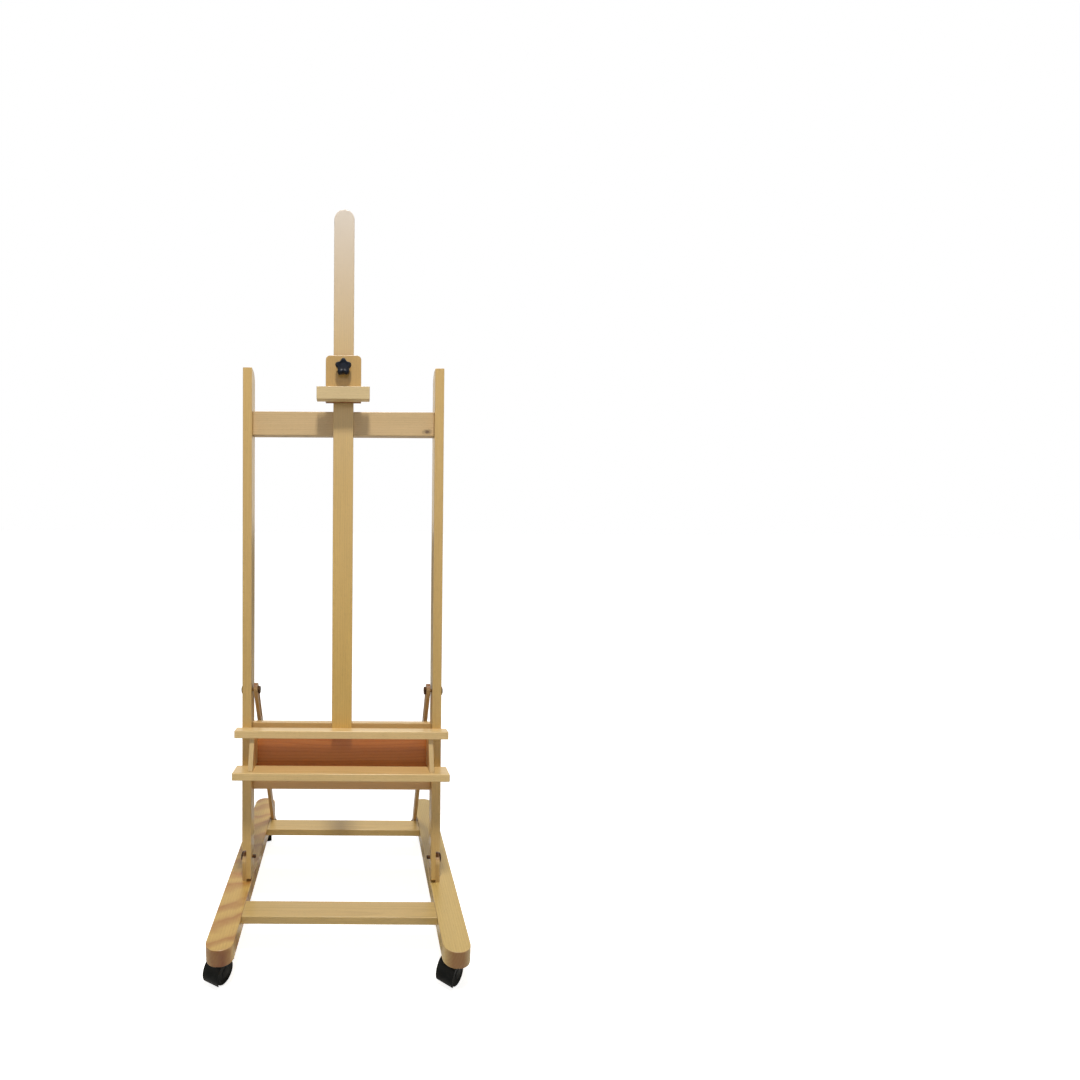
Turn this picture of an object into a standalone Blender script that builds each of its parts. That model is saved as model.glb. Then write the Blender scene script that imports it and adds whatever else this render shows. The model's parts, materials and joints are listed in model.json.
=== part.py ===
"""Studio easel of oiled beech: an H-frame that leans back over a base on four castors.

Metres, +Z up. The easel faces -Y, and its origin is on the floor under the middle of the base.
The leaning frame is built in its own axes: X across, Y square to the posts and Z along them,
with zero on the hinge bolts that it tilts about.
"""

import math

import bmesh
import bpy
from mathutils import Matrix, Vector

# Clearances
TOUCH = 0.0003            # between faces that meet
BORE_PLAY = 0.0003        # round a bolt or a pin in its bore
SLIDE_PLAY = 0.0003       # each side of wood that slides on wood

# Base
BASE_WIDTH = 0.527
BASE_DEPTH = 0.610
RUNNER_WIDTH = 0.056
RUNNER_THICK = 0.036
RUNNER_END_RADIUS = 0.026
STRETCHER_WIDTH = 0.050
STRETCHER_THICK = 0.018
FRONT_STRETCHER_SETBACK = 0.0965   # from the runners' front ends
WOOD_ROUND = 0.0018               # rounding of wooden edges

# Castors
WHEEL_RADIUS = 0.024
WHEEL_WIDTH = 0.013
WHEEL_INSET = 0.004               # from the middle of the castor to a wheel's inner face
AXLE_RADIUS = 0.003
HOOD_CLEAR = 0.0017               # from tread to hood
HOOD_THICK = 0.0026
HOOD_WIDTH = 0.038
HOOD_BEFORE = math.radians(82)    # sweep of the hood over the wheel, to the front
HOOD_BEHIND = math.radians(100)
WEB_THICK = 0.006
WEB_RADIUS = 0.019
SOCKET_RADIUS = 0.0105
CASTOR_TRAIL = 0.012
CASTOR_PLATE_RADIUS = 0.015
CASTOR_PLATE_THICK = 0.0022
CASTOR_PIN_RADIUS = 0.003         # of the swivel pin in the hood's socket
CASTOR_PIN_DEPTH = 0.0065
CASTOR_STEM_RADIUS = 0.004
CASTOR_STEM_LENGTH = 0.022        # screwed up into the runner
FRONT_CASTOR_SETBACK = 0.046
REAR_CASTOR_SETBACK = 0.062
CASTOR_TURNS = {                  # how each castor stands at rest, about its stem
    "front_left": math.radians(-27),
    "front_right": math.radians(-39),
    "rear_left": math.radians(14),
    "rear_right": math.radians(27),
}

# Hinge at the foot of the leaning frame
HINGE_SETBACK = 0.2335            # from the runners' front ends
HINGE_HEIGHT = 0.050              # above the runners
LEAN = math.radians(6)
TILT_RANGE = math.radians(20)
CHEEK_THICK = 0.010
CHEEK_RADIUS = 0.020
CHEEK_TOP_CLEAR = 0.003           # from a cheek's round top to the post's shoulder
BOLT_RADIUS = 0.004
BOLT_HEAD_RADIUS = 0.0105
BOLT_HEAD_THICK = 0.0055
NUT_RADIUS = 0.0075
NUT_THICK = 0.0065

# Leaning frame
POST_WIDTH = 0.021
POST_DEPTH = 0.040
POST_INSET = 0.0005               # from a runner's inner face to a post's inner face
POST_TOP = 1.131                  # above the hinge bolts
POST_TOP_RADIUS = 0.024
CROSSBAR_TALL = 0.055
CROSSBAR_THICK = 0.020
CROSSBAR_DROP = 0.095             # from the posts' tops
CROSSBAR_SETBACK = 0.014          # from the posts' front faces

# Tray
TRAY_TOP = 0.3092                 # above the hinge bolts
TRAY_OVERHANG = 0.012             # of the ledges past the posts
UPPER_LEDGE_DEPTH = 0.030
UPPER_LEDGE_THICK = 0.0175
LOWER_LEDGE_DEPTH = 0.0545
LOWER_LEDGE_THICK = 0.0168
LEDGE_SPACING = 0.0880            # top of the one to top of the other
PANEL_TALL = 0.1575
PANEL_THICK = 0.018
PANEL_RISE = 0.007                # of the panel above the upper ledge
SIDE_THICK = 0.0107
SIDE_LEDGE_INSET = 0.010          # of a side's front edge behind the ledges' fronts

# Mast
MAST_WIDTH = 0.046
MAST_THICK = 0.0194
MAST_LENGTH = 1.190
MAST_FOOT_DROP = 0.0135           # below the tray's top
GROOVE_WIDTH = 0.0094
GROOVE_HEAD_WIDTH = 0.0170
GROOVE_HEAD_DEPTH = 0.0050
GROOVE_NECK_DEPTH = 0.0060
GROOVE_LENGTH = 0.735             # up from the mast's foot
MAST_BOLT_HEAD = 0.0080           # radius
MAST_BOLT_HEAD_THICK = 0.0036
WASHER_RADIUS = 0.012
WASHER_THICK = 0.002

# Holder on the mast
HOLDER_WIDTH = 0.080
HOLDER_TALL = 0.104
HOLDER_PLATE_THICK = 0.012
HOLDER_BACK_THICK = 0.010
HOLDER_SLEEVE_RISE = 0.022        # of the sides and back above the plate's lower edge
HOLDER_CORNER_RADIUS = 0.010
HOLDER_LIFT = 0.014               # above the crossbar
HOLDER_LEDGE_WIDTH = 0.118
HOLDER_LEDGE_TALL = 0.028
HOLDER_LEDGE_DEPTH = 0.020
HOLDER_KNOB_RISE = 0.0735          # of the knob above the holder's lower edge
KNOB_RADIUS = 0.0185
KNOB_LOBES = 5
KNOB_LOBE_DEPTH = 0.13            # as a share of the radius
KNOB_THICK = 0.015
KNOB_NECK_RADIUS = 0.009
KNOB_NECK_LENGTH = 0.005

# Struts
STRUT_WIDTH = 0.022
STRUT_THICK = 0.009
STRUT_INSET = 0.003               # from a runner's inner face to the strut
STRUT_BOLT_RISE = 0.3925           # of the upper bolts above the hinge bolts
STRUT_FOOT_SETBACK = 0.101        # from the runners' rear ends
STRUT_FOOT_RISE = 0.018           # of the foot pivots above the runners' undersides
STRUT_END = 0.017                 # of strut past the upper bolt
STRUT_TOP_RADIUS = 0.010
SLOT_PLAY = 0.0013                # each side of the bolt in its slot
SLOT_END_PLAY = 0.0030
STRETCHER_CLEAR = 0.002           # from the struts to the rear stretcher
FOOT_BOLT_RADIUS = 0.003
FOOT_BOLT_HEAD_RADIUS = 0.007
FOOT_BOLT_HEAD_THICK = 0.004
FOOT_BOLT_GRIP = 0.036            # in the runner
THUMB_NUT_RADIUS = 0.0095
THUMB_NUT_THICK = 0.0045
THUMB_NUT_LOBES = 10
THUMB_NUT_LOBE_DEPTH = 0.0012

# Places worked out from the sizes above
WHEEL_CLEAR_TOP = 2 * WHEEL_RADIUS + HOOD_CLEAR + HOOD_THICK
RUNNER_UNDER = WHEEL_CLEAR_TOP + 0.0035 + CASTOR_PLATE_THICK
RUNNER_TOP = RUNNER_UNDER + RUNNER_THICK
RUNNER_X = BASE_WIDTH / 2 - RUNNER_WIDTH / 2
RUNNER_INNER = BASE_WIDTH / 2 - RUNNER_WIDTH
HINGE_Y = -BASE_DEPTH / 2 + HINGE_SETBACK
HINGE_Z = RUNNER_TOP + HINGE_HEIGHT
POST_INNER = RUNNER_INNER + POST_INSET
POST_OUTER = POST_INNER + POST_WIDTH
FRAME_FRONT = -POST_DEPTH / 2
MAST_BACK = FRAME_FRONT + SLIDE_PLAY + MAST_THICK
CROSSBAR_TOP = POST_TOP - CROSSBAR_DROP
CROSSBAR_FRONT = FRAME_FRONT + CROSSBAR_SETBACK
CROSSBAR_BACK = CROSSBAR_FRONT + CROSSBAR_THICK
CROSSBAR_MIDDLE = CROSSBAR_TOP - CROSSBAR_TALL / 2
MAST_FOOT = TRAY_TOP - MAST_FOOT_DROP
MAST_TOP = MAST_FOOT + MAST_LENGTH
HOLDER_FOOT = CROSSBAR_TOP + HOLDER_LIFT
FOOT_Y = BASE_DEPTH / 2 - STRUT_FOOT_SETBACK
FOOT_Z = RUNNER_UNDER + STRUT_FOOT_RISE
STRUT_OUTER = RUNNER_INNER - STRUT_INSET

SIDES = {"left": -1, "right": 1}
PIN_SIDES = 12                    # facets of bolts, pins and bores
ROUND_SIDES = 16                  # of heads, nuts' hubs and sockets
WHEEL_SIDES = 20


def clear_scene():
    """Remove whatever objects the file opened with."""
    for thing in list(bpy.data.objects):
        bpy.data.objects.remove(thing, do_unlink=True)


def new_collection(name):
    """A collection in the scene."""
    group = bpy.data.collections.new(name)
    bpy.context.scene.collection.children.link(group)
    return group


clear_scene()
PARTS = new_collection("studio_easel")
CUTTERS = new_collection("cutters")

FINISHES = {                      # colour, roughness, metallic
    "beech": ((0.560, 0.350, 0.150), 0.48, 0.0),
    "steel": ((0.330, 0.310, 0.290), 0.38, 1.0),
    "nylon": ((0.020, 0.022, 0.024), 0.46, 0.0),
    "knob": ((0.012, 0.016, 0.030), 0.40, 0.0),
}


def paint(obj, finish):
    """Give a piece its own material in one of the finishes."""
    colour, roughness, metallic = FINISHES[finish]
    material = bpy.data.materials.new(f"{obj.name}_{finish}")
    material.use_nodes = True
    shader = material.node_tree.nodes["Principled BSDF"]
    shader.inputs["Base Color"].default_value = (*colour, 1.0)
    shader.inputs["Roughness"].default_value = roughness
    shader.inputs["Metallic"].default_value = metallic
    obj.data.materials.clear()
    obj.data.materials.append(material)


def new_piece(name, mesh, parent=None, finish=None):
    """A mesh as an object, shaded smooth over its gentle edges, with a finish if it is a part."""
    mesh.shade_smooth()
    mesh.set_sharp_from_angle(angle=math.radians(35))
    obj = bpy.data.objects.new(name, mesh)
    obj.parent = parent
    if finish:
        PARTS.objects.link(obj)
        paint(obj, finish)
    else:
        CUTTERS.objects.link(obj)
        obj.hide_render = True
        obj.display_type = "WIRE"
    return obj


def pivot(name, place, turn=(0.0, 0.0, 0.0), parent=None):
    """An empty on an axis, which carries the pieces that turn or slide there."""
    empty = bpy.data.objects.new(name, None)
    empty.location = place
    empty.rotation_euler = turn
    empty.parent = parent
    empty.empty_display_size = 0.02
    PARTS.objects.link(empty)
    return empty


def mesh_of(bm, name):
    """The finished mesh of a bmesh."""
    mesh = bpy.data.meshes.new(name)
    bm.to_mesh(mesh)
    bm.free()
    return mesh


def block(name, low, high, parent=None, finish=None):
    """A rectangular block between two corners."""
    low, high = Vector(low), Vector(high)
    bm = bmesh.new()
    bmesh.ops.create_cube(bm, size=1.0)
    bmesh.ops.scale(bm, vec=high - low, verts=bm.verts)
    bmesh.ops.translate(bm, vec=(low + high) / 2, verts=bm.verts)
    return new_piece(name, mesh_of(bm, name), parent, finish)


def rod(name, radius, start, end, parent=None, finish=None, sides=None):
    """A round rod from one point to another. Six sides make a hexagon."""
    sides = sides or (PIN_SIDES if radius < 1.2 * BOLT_RADIUS else ROUND_SIDES)
    start, end = Vector(start), Vector(end)
    along = end - start
    bm = bmesh.new()
    bmesh.ops.create_cone(bm, cap_ends=True, segments=sides, radius1=radius, radius2=radius,
                          depth=along.length)
    turn = along.to_track_quat("Z", "Y").to_matrix().to_4x4()
    bmesh.ops.transform(bm, matrix=Matrix.Translation((start + end) / 2) @ turn, verts=bm.verts)
    return new_piece(name, mesh_of(bm, name), parent, finish)


ACROSS = {                        # turns an outline's own plane to the one that the axis is square to
    "X": Matrix(((0, 0, 1, 0), (1, 0, 0, 0), (0, 1, 0, 0), (0, 0, 0, 1))),
    "Y": Matrix(((1, 0, 0, 0), (0, 0, -1, 0), (0, 1, 0, 0), (0, 0, 0, 1))),
    "Z": Matrix.Identity(4),
}
DEPTH_SIGN = {"X": 1, "Y": -1, "Z": 1}


def evaluated_mesh(obj):
    """An object's shape with its modifiers done, in its own axes."""
    bpy.context.view_layer.update()
    graph = bpy.context.evaluated_depsgraph_get()
    return bpy.data.meshes.new_from_object(obj.evaluated_get(graph), depsgraph=graph)


def plate(name, outline, low, high, axis, parent=None, finish=None):
    """A flat outline made solid from low to high along an axis that is square to it."""
    curve = bpy.data.curves.new(name, "CURVE")
    curve.dimensions = "2D"
    curve.fill_mode = "BOTH"
    curve.extrude = (high - low) / 2
    spline = curve.splines.new("POLY")
    spline.points.add(len(outline) - 1)
    for point, (first, second) in zip(spline.points, outline):
        point.co = (first, second, 0.0, 1.0)
    spline.use_cyclic_u = True
    flat = bpy.data.objects.new(name, curve)
    CUTTERS.objects.link(flat)
    mesh = evaluated_mesh(flat)
    bpy.data.objects.remove(flat, do_unlink=True)
    bpy.data.curves.remove(curve)
    bm = bmesh.new()
    bm.from_mesh(mesh)
    bpy.data.meshes.remove(mesh)
    bmesh.ops.remove_doubles(bm, verts=bm.verts, dist=0.00001)
    middle = DEPTH_SIGN[axis] * (low + high) / 2
    bmesh.ops.transform(bm, matrix=ACROSS[axis] @ Matrix.Translation((0, 0, middle)), verts=bm.verts)
    bmesh.ops.recalc_face_normals(bm, faces=bm.faces)
    return new_piece(name, mesh_of(bm, name), parent, finish)


def turned(name, profile, parent=None, finish=None, sides=WHEEL_SIDES):
    """A closed ring profile of (radius, height) pairs, down its outer side, turned about Z."""
    bm = bmesh.new()
    corners = [bm.verts.new((radius, 0.0, height)) for radius, height in profile]
    for corner, following in zip(corners, corners[1:] + corners[:1]):
        bm.edges.new((corner, following))
    obj = new_piece(name, mesh_of(bm, name), parent, finish)
    screw = obj.modifiers.new("turn", "SCREW")
    screw.steps = screw.render_steps = sides
    screw.use_merge_vertices = True
    screw.merge_threshold = 0.00001
    screw.use_smooth_shade = True
    return obj


def cut(piece, cutter):
    """Take one shape out of another."""
    boolean = piece.modifiers.new(f"cut_{cutter.name}", "BOOLEAN")
    boolean.operation = "DIFFERENCE"
    boolean.object = cutter


def unite(piece, other):
    """Make two shapes one body."""
    boolean = piece.modifiers.new(f"join_{other.name}", "BOOLEAN")
    boolean.operation = "UNION"
    boolean.object = other


def soften(piece, width, segments=2):
    """Round a piece's sharp edges."""
    bevel = piece.modifiers.new("round", "BEVEL")
    bevel.width = width
    bevel.segments = segments
    bevel.limit_method = "ANGLE"
    bevel.angle_limit = math.radians(40)


def settle(piece):
    """A piece's finished mesh, for copies that share its shape; the piece itself goes."""
    mesh = evaluated_mesh(piece)
    bpy.data.objects.remove(piece, do_unlink=True)
    return mesh


def arc(centre, radius, start, end, steps=8):
    """Points along a round stretch of an outline, from one angle to another in degrees."""
    angles = [math.radians(start + (end - start) * step / steps) for step in range(steps + 1)]
    return [(centre[0] + radius * math.cos(a), centre[1] + radius * math.sin(a)) for a in angles]


def rounded_bar(middle, low, high, half_width, end_radius, steps=6):
    """The outline of a bar that runs in the second direction, with its corners rounded."""
    inner = half_width - end_radius
    corners = ((inner, high - end_radius, 0), (-inner, high - end_radius, 90),
               (-inner, low + end_radius, 180), (inner, low + end_radius, 270))
    return [point for side, up, start in corners
            for point in arc((middle + side, up), end_radius, start, start + 90, steps)]


# ---- Base ----

def make_runner(side, sign):
    """A runner with rounded ends, bored for its castors' stems and its strut's foot bolt."""
    outline = rounded_bar(sign * RUNNER_X, -BASE_DEPTH / 2, BASE_DEPTH / 2,
                          RUNNER_WIDTH / 2, RUNNER_END_RADIUS)
    runner = plate(f"runner_{side}", outline, RUNNER_UNDER, RUNNER_TOP, "Z", None, "beech")
    soften(runner, WOOD_ROUND)
    for end, place_y in (("front", -BASE_DEPTH / 2 + FRONT_CASTOR_SETBACK),
                         ("rear", BASE_DEPTH / 2 - REAR_CASTOR_SETBACK)):
        bore = rod(f"stem_bore_{end}_{side}", CASTOR_STEM_RADIUS + BORE_PLAY,
                   (sign * RUNNER_X, place_y, RUNNER_UNDER - 0.005),
                   (sign * RUNNER_X, place_y, RUNNER_UNDER + CASTOR_STEM_LENGTH + BORE_PLAY))
        cut(runner, bore)
    bore = rod(f"foot_bore_{side}", FOOT_BOLT_RADIUS + BORE_PLAY,
               (sign * (RUNNER_INNER - 0.005), FOOT_Y, FOOT_Z),
               (sign * (RUNNER_INNER + FOOT_BOLT_GRIP + BORE_PLAY), FOOT_Y, FOOT_Z))
    cut(runner, bore)


def strut_reach(lean):
    """How far a strut's upper bolt is from its foot pivot, and its angle, at a lean of the frame."""
    back = HINGE_Y + STRUT_BOLT_RISE * math.sin(lean)
    up = HINGE_Z + STRUT_BOLT_RISE * math.cos(lean)
    return math.hypot(FOOT_Y - back, up - FOOT_Z), math.atan2(FOOT_Y - back, up - FOOT_Z)


STRUT_REACH, STRUT_ANGLE = strut_reach(LEAN)
STRUT_REACH_TILTED, STRUT_ANGLE_TILTED = strut_reach(LEAN + TILT_RANGE)
STRUT_EDGE_Y = (FOOT_Y - (RUNNER_TOP - FOOT_Z) * math.tan(STRUT_ANGLE)
                - STRUT_WIDTH / 2 / math.cos(STRUT_ANGLE))


def make_stretchers():
    """The two boards that join the runners, flush with their tops."""
    fronts = {"front": -BASE_DEPTH / 2 + FRONT_STRETCHER_SETBACK,
              "rear": STRUT_EDGE_Y - STRETCHER_CLEAR - STRETCHER_WIDTH}
    for name, front in fronts.items():
        board = block(f"stretcher_{name}",
                      (-RUNNER_INNER + TOUCH, front, RUNNER_TOP - STRETCHER_THICK),
                      (RUNNER_INNER - TOUCH, front + STRETCHER_WIDTH, RUNNER_TOP), finish="beech")
        soften(board, WOOD_ROUND)


for side, sign in SIDES.items():
    make_runner(side, sign)
make_stretchers()


# ---- Castors ----

AXLE_PLACE = (-CASTOR_TRAIL, WHEEL_RADIUS)        # behind the stem's axis, and above the floor


def hood_mesh():
    """A twin-wheel castor's hood: an arched cover, the web between the wheels and the stem socket."""
    inner = WHEEL_RADIUS + HOOD_CLEAR
    first = 90 + math.degrees(HOOD_BEFORE)
    last = 90 - math.degrees(HOOD_BEHIND)
    outline = arc(AXLE_PLACE, inner + HOOD_THICK, first, last, 12) + arc(AXLE_PLACE, inner, last, first, 12)
    hood = plate("castor_hood", outline, -HOOD_WIDTH / 2, HOOD_WIDTH / 2, "X", finish="nylon")
    web_outline = arc(AXLE_PLACE, WEB_RADIUS, -180, 0, 8)
    web_outline += arc(AXLE_PLACE, inner + HOOD_THICK / 2, 20, 160, 8)
    web = plate("hood_web", web_outline, -WEB_THICK / 2, WEB_THICK / 2, "X")
    unite(hood, web)
    under = RUNNER_UNDER - TOUCH - CASTOR_PLATE_THICK - TOUCH
    socket = rod("hood_socket", SOCKET_RADIUS, (0, 0, WHEEL_CLEAR_TOP - 0.008), (0, 0, under))
    unite(hood, socket)
    wells = [rod(f"hood_well_{side}", inner,
                 (sign * WEB_THICK / 2, *AXLE_PLACE), (sign * HOOD_WIDTH, *AXLE_PLACE))
             for side, sign in SIDES.items()]
    for well in wells:
        cut(hood, well)
    shank = rod("hood_shank", CASTOR_PIN_RADIUS + BORE_PLAY,
                (0, 0, under - CASTOR_PIN_DEPTH - BORE_PLAY), (0, 0, under + 0.01))
    cut(hood, shank)
    axle_bore = rod("hood_axle_bore", AXLE_RADIUS + BORE_PLAY, (-0.05, *AXLE_PLACE), (0.05, *AXLE_PLACE))
    cut(hood, axle_bore)
    mesh = settle(hood)
    for cutter in (web, socket, *wells, shank, axle_bore):
        bpy.data.objects.remove(cutter, do_unlink=True)
    return mesh


def wheel_mesh():
    """A castor wheel on the +X side of the hood's web, with a dished outer face and a hub."""
    inner, outer = WHEEL_INSET, WHEEL_INSET + WHEEL_WIDTH
    bore = AXLE_RADIUS + BORE_PLAY
    rim = WHEEL_RADIUS - 0.005
    hub = bore + 0.004
    dish = 0.0025
    profile = [(bore, outer), (hub, outer), (hub + 0.001, outer - dish), (rim - 0.001, outer - dish),
               (rim, outer), (WHEEL_RADIUS - 0.002, outer), (WHEEL_RADIUS, outer - 0.002),
               (WHEEL_RADIUS, inner + 0.0015), (WHEEL_RADIUS - 0.0015, inner), (bore, inner)]
    mesh = settle(turned("castor_wheel", profile, finish="nylon"))
    mesh.transform(Matrix.Rotation(math.radians(90), 4, "Y"))
    return mesh


HOOD_MESH = hood_mesh()
WHEEL_MESH = wheel_mesh()


def make_castor(corner):
    """One castor: a plate and stem fixed under the runner, and a hood with two wheels that swivels."""
    sign = SIDES[corner.split("_")[1]]
    setback = FRONT_CASTOR_SETBACK if corner.startswith("front") else REAR_CASTOR_SETBACK
    place_y = (BASE_DEPTH / 2 - setback) * (-1 if corner.startswith("front") else 1)
    plate_top = RUNNER_UNDER - TOUCH
    stand = pivot(f"castor_{corner}_stand", (sign * RUNNER_X, place_y, 0))
    stem = rod(f"castor_{corner}_stem", CASTOR_STEM_RADIUS, (0, 0, plate_top - CASTOR_PLATE_THICK / 2),
               (0, 0, RUNNER_UNDER + CASTOR_STEM_LENGTH), stand, "steel")
    disc = rod(f"castor_{corner}_disc", CASTOR_PLATE_RADIUS,
               (0, 0, plate_top - CASTOR_PLATE_THICK), (0, 0, plate_top), stand)
    unite(stem, disc)
    pin = rod(f"castor_{corner}_pin", CASTOR_PIN_RADIUS,
              (0, 0, plate_top - CASTOR_PLATE_THICK - TOUCH - CASTOR_PIN_DEPTH),
              (0, 0, plate_top - CASTOR_PLATE_THICK / 2), stand)
    unite(stem, pin)
    swivel = pivot(f"castor_{corner}_swivel", (0, 0, 0), (0, 0, CASTOR_TURNS[corner]), stand)
    new_piece(f"castor_{corner}_hood", HOOD_MESH.copy(), swivel, "nylon")
    axle = pivot(f"castor_{corner}_axle_line", (0, *AXLE_PLACE), (0, 0, 0), swivel)
    half_axle = WHEEL_INSET + WHEEL_WIDTH - 0.001
    rod(f"castor_{corner}_axle", AXLE_RADIUS, (-half_axle, 0, 0), (half_axle, 0, 0), axle, "steel")
    for name, turn in (("wheel_right", 0.0), ("wheel_left", math.pi)):
        wheel = new_piece(f"castor_{corner}_{name}", WHEEL_MESH.copy(), axle, "nylon")
        wheel.rotation_euler = (0, 0, turn)


for corner in CASTOR_TURNS:
    make_castor(corner)


# ---- Leaning frame ----

FRAME = pivot("frame_pivot", (0, HINGE_Y, HINGE_Z), (-LEAN, 0, 0))


def make_hinge(side, sign):
    """The cheek that stands on the runner, and the bolt and nut that the post turns on."""
    low, high = sorted((sign * (POST_OUTER - CHEEK_THICK + TOUCH), sign * POST_OUTER))
    foot = RUNNER_TOP + TOUCH
    outline = [(HINGE_Y + CHEEK_RADIUS, foot)] + arc((HINGE_Y, HINGE_Z), CHEEK_RADIUS, 0, 180, 12)
    outline += [(HINGE_Y - CHEEK_RADIUS, foot)]
    cheek = plate(f"hinge_cheek_{side}", outline, low, high, "X", finish="beech")
    bore = rod(f"cheek_bore_{side}", BOLT_RADIUS + BORE_PLAY,
               (sign * (POST_INNER - 0.01), HINGE_Y, HINGE_Z), (sign * (POST_OUTER + 0.01), HINGE_Y, HINGE_Z))
    soften(cheek, WOOD_ROUND / 2, 1)
    cut(cheek, bore)
    make_bolt(f"hinge_bolt_{side}", sign, POST_OUTER, POST_INNER - NUT_THICK - 0.001,
              (HINGE_Y, HINGE_Z), None)
    make_nut(f"hinge_nut_{side}", sign, (HINGE_Y, HINGE_Z), None)


def make_bolt(name, sign, head_face, tip, place, parent):
    """A cross bolt: a domed head outside the post and a shank that runs in to its tip."""
    bolt = rod(name, BOLT_RADIUS, (sign * tip, *place), (sign * (head_face + BOLT_HEAD_THICK / 2), *place),
               parent, "steel")
    head = rod(f"{name}_head", BOLT_HEAD_RADIUS, (sign * (head_face + TOUCH), *place),
               (sign * (head_face + BOLT_HEAD_THICK), *place), parent)
    soften(head, 0.0012)
    unite(bolt, head)


def make_nut(name, sign, place, parent):
    """A hexagon nut on the inner face of a post."""
    far, near = POST_INNER - TOUCH - NUT_THICK, POST_INNER - TOUCH
    nut = rod(name, NUT_RADIUS, (sign * far, *place), (sign * near, *place), parent, "steel", 6)
    bore = rod(f"{name}_bore", BOLT_RADIUS + BORE_PLAY, (sign * (far - 0.01), *place),
               (sign * (near + 0.01), *place), parent)
    cut(nut, bore)


def make_post(side, sign):
    """A post: rounded at the top of its back, rebated at the foot for the hinge cheek."""
    half = POST_DEPTH / 2
    foot_radius = HINGE_HEIGHT - 0.001
    foot_angle = math.degrees(math.asin(half / foot_radius))
    outline = arc((0, 0), foot_radius, -90 - foot_angle, -90 + foot_angle, 8)
    outline += arc((half - POST_TOP_RADIUS, POST_TOP - POST_TOP_RADIUS), POST_TOP_RADIUS, 0, 90, 8)
    outline += [(-half, POST_TOP)]
    low, high = sorted((sign * POST_INNER, sign * POST_OUTER))
    post = plate(f"post_{side}", outline, low, high, "X", FRAME, "beech")
    soften(post, WOOD_ROUND)
    for name, height in (("strut", STRUT_BOLT_RISE), ("hinge", 0.0)):
        bore = rod(f"post_{name}_bore_{side}", BOLT_RADIUS + BORE_PLAY,
                   (sign * (POST_INNER - 0.01), 0, height), (sign * (POST_OUTER + 0.01), 0, height), FRAME)
        cut(post, bore)
    shoulder = CHEEK_RADIUS + CHEEK_TOP_CLEAR
    low, high = sorted((sign * (POST_OUTER - CHEEK_THICK), sign * (POST_OUTER + 0.01)))
    rebate = block(f"post_rebate_{side}", (low, -POST_DEPTH, -2 * foot_radius),
                   (high, POST_DEPTH, shoulder), FRAME)
    cut(post, rebate)


def make_crossbar():
    """The bar between the posts, housed at its middle for the mast and bored for its clamp bolt."""
    bar = block("crossbar", (-POST_INNER + TOUCH, CROSSBAR_FRONT, CROSSBAR_TOP - CROSSBAR_TALL),
                (POST_INNER - TOUCH, CROSSBAR_BACK, CROSSBAR_TOP), FRAME, "beech")
    soften(bar, WOOD_ROUND)
    half = MAST_WIDTH / 2 + SLIDE_PLAY
    housing = block("crossbar_housing", (-half, CROSSBAR_FRONT - 0.01, CROSSBAR_TOP - 2 * CROSSBAR_TALL),
                    (half, MAST_BACK + SLIDE_PLAY, CROSSBAR_TOP + CROSSBAR_TALL), FRAME)
    cut(bar, housing)
    bore = rod("crossbar_bore", BOLT_RADIUS + BORE_PLAY, (0, FRAME_FRONT, CROSSBAR_MIDDLE),
               (0, CROSSBAR_BACK + 0.01, CROSSBAR_MIDDLE), FRAME)
    cut(bar, bore)


for side, sign in SIDES.items():
    make_hinge(side, sign)
    make_post(side, sign)
make_crossbar()


# ---- Tray ----

LOWER_LEDGE_TOP = TRAY_TOP - LEDGE_SPACING
LEDGE_BACK = FRAME_FRONT - TOUCH
PANEL_FRONT = MAST_BACK + SLIDE_PLAY


def make_tray():
    """Two ledges on the front of the posts, with a panel behind them and a side inside each post."""
    half = POST_OUTER + TRAY_OVERHANG
    for name, top, thick, depth in (("upper", TRAY_TOP, UPPER_LEDGE_THICK, UPPER_LEDGE_DEPTH),
                                    ("lower", LOWER_LEDGE_TOP, LOWER_LEDGE_THICK, LOWER_LEDGE_DEPTH)):
        ledge = block(f"ledge_{name}", (-half, LEDGE_BACK - depth, top - thick), (half, LEDGE_BACK, top),
                      FRAME, "beech")
        soften(ledge, WOOD_ROUND)
    panel_top = TRAY_TOP + PANEL_RISE
    panel = block("tray_panel", (-POST_INNER + TOUCH, PANEL_FRONT, panel_top - PANEL_TALL),
                  (POST_INNER - TOUCH, PANEL_FRONT + PANEL_THICK, panel_top), FRAME, "beech")
    soften(panel, WOOD_ROUND)
    back = PANEL_FRONT - TOUCH
    top_front = LEDGE_BACK - UPPER_LEDGE_DEPTH + SIDE_LEDGE_INSET
    low_front = LEDGE_BACK - LOWER_LEDGE_DEPTH + SIDE_LEDGE_INSET
    under_upper = TRAY_TOP - UPPER_LEDGE_THICK - TOUCH
    over_lower = LOWER_LEDGE_TOP + TOUCH
    outline = [(top_front, under_upper), (low_front, over_lower), (back, over_lower), (back, under_upper)]
    for side, sign in SIDES.items():
        low, high = sorted((sign * (POST_INNER - TOUCH - SIDE_THICK), sign * (POST_INNER - TOUCH)))
        plate(f"tray_side_{side}", outline, low, high, "X", FRAME, "beech")


make_tray()


# ---- Mast and its clamp ----

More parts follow.
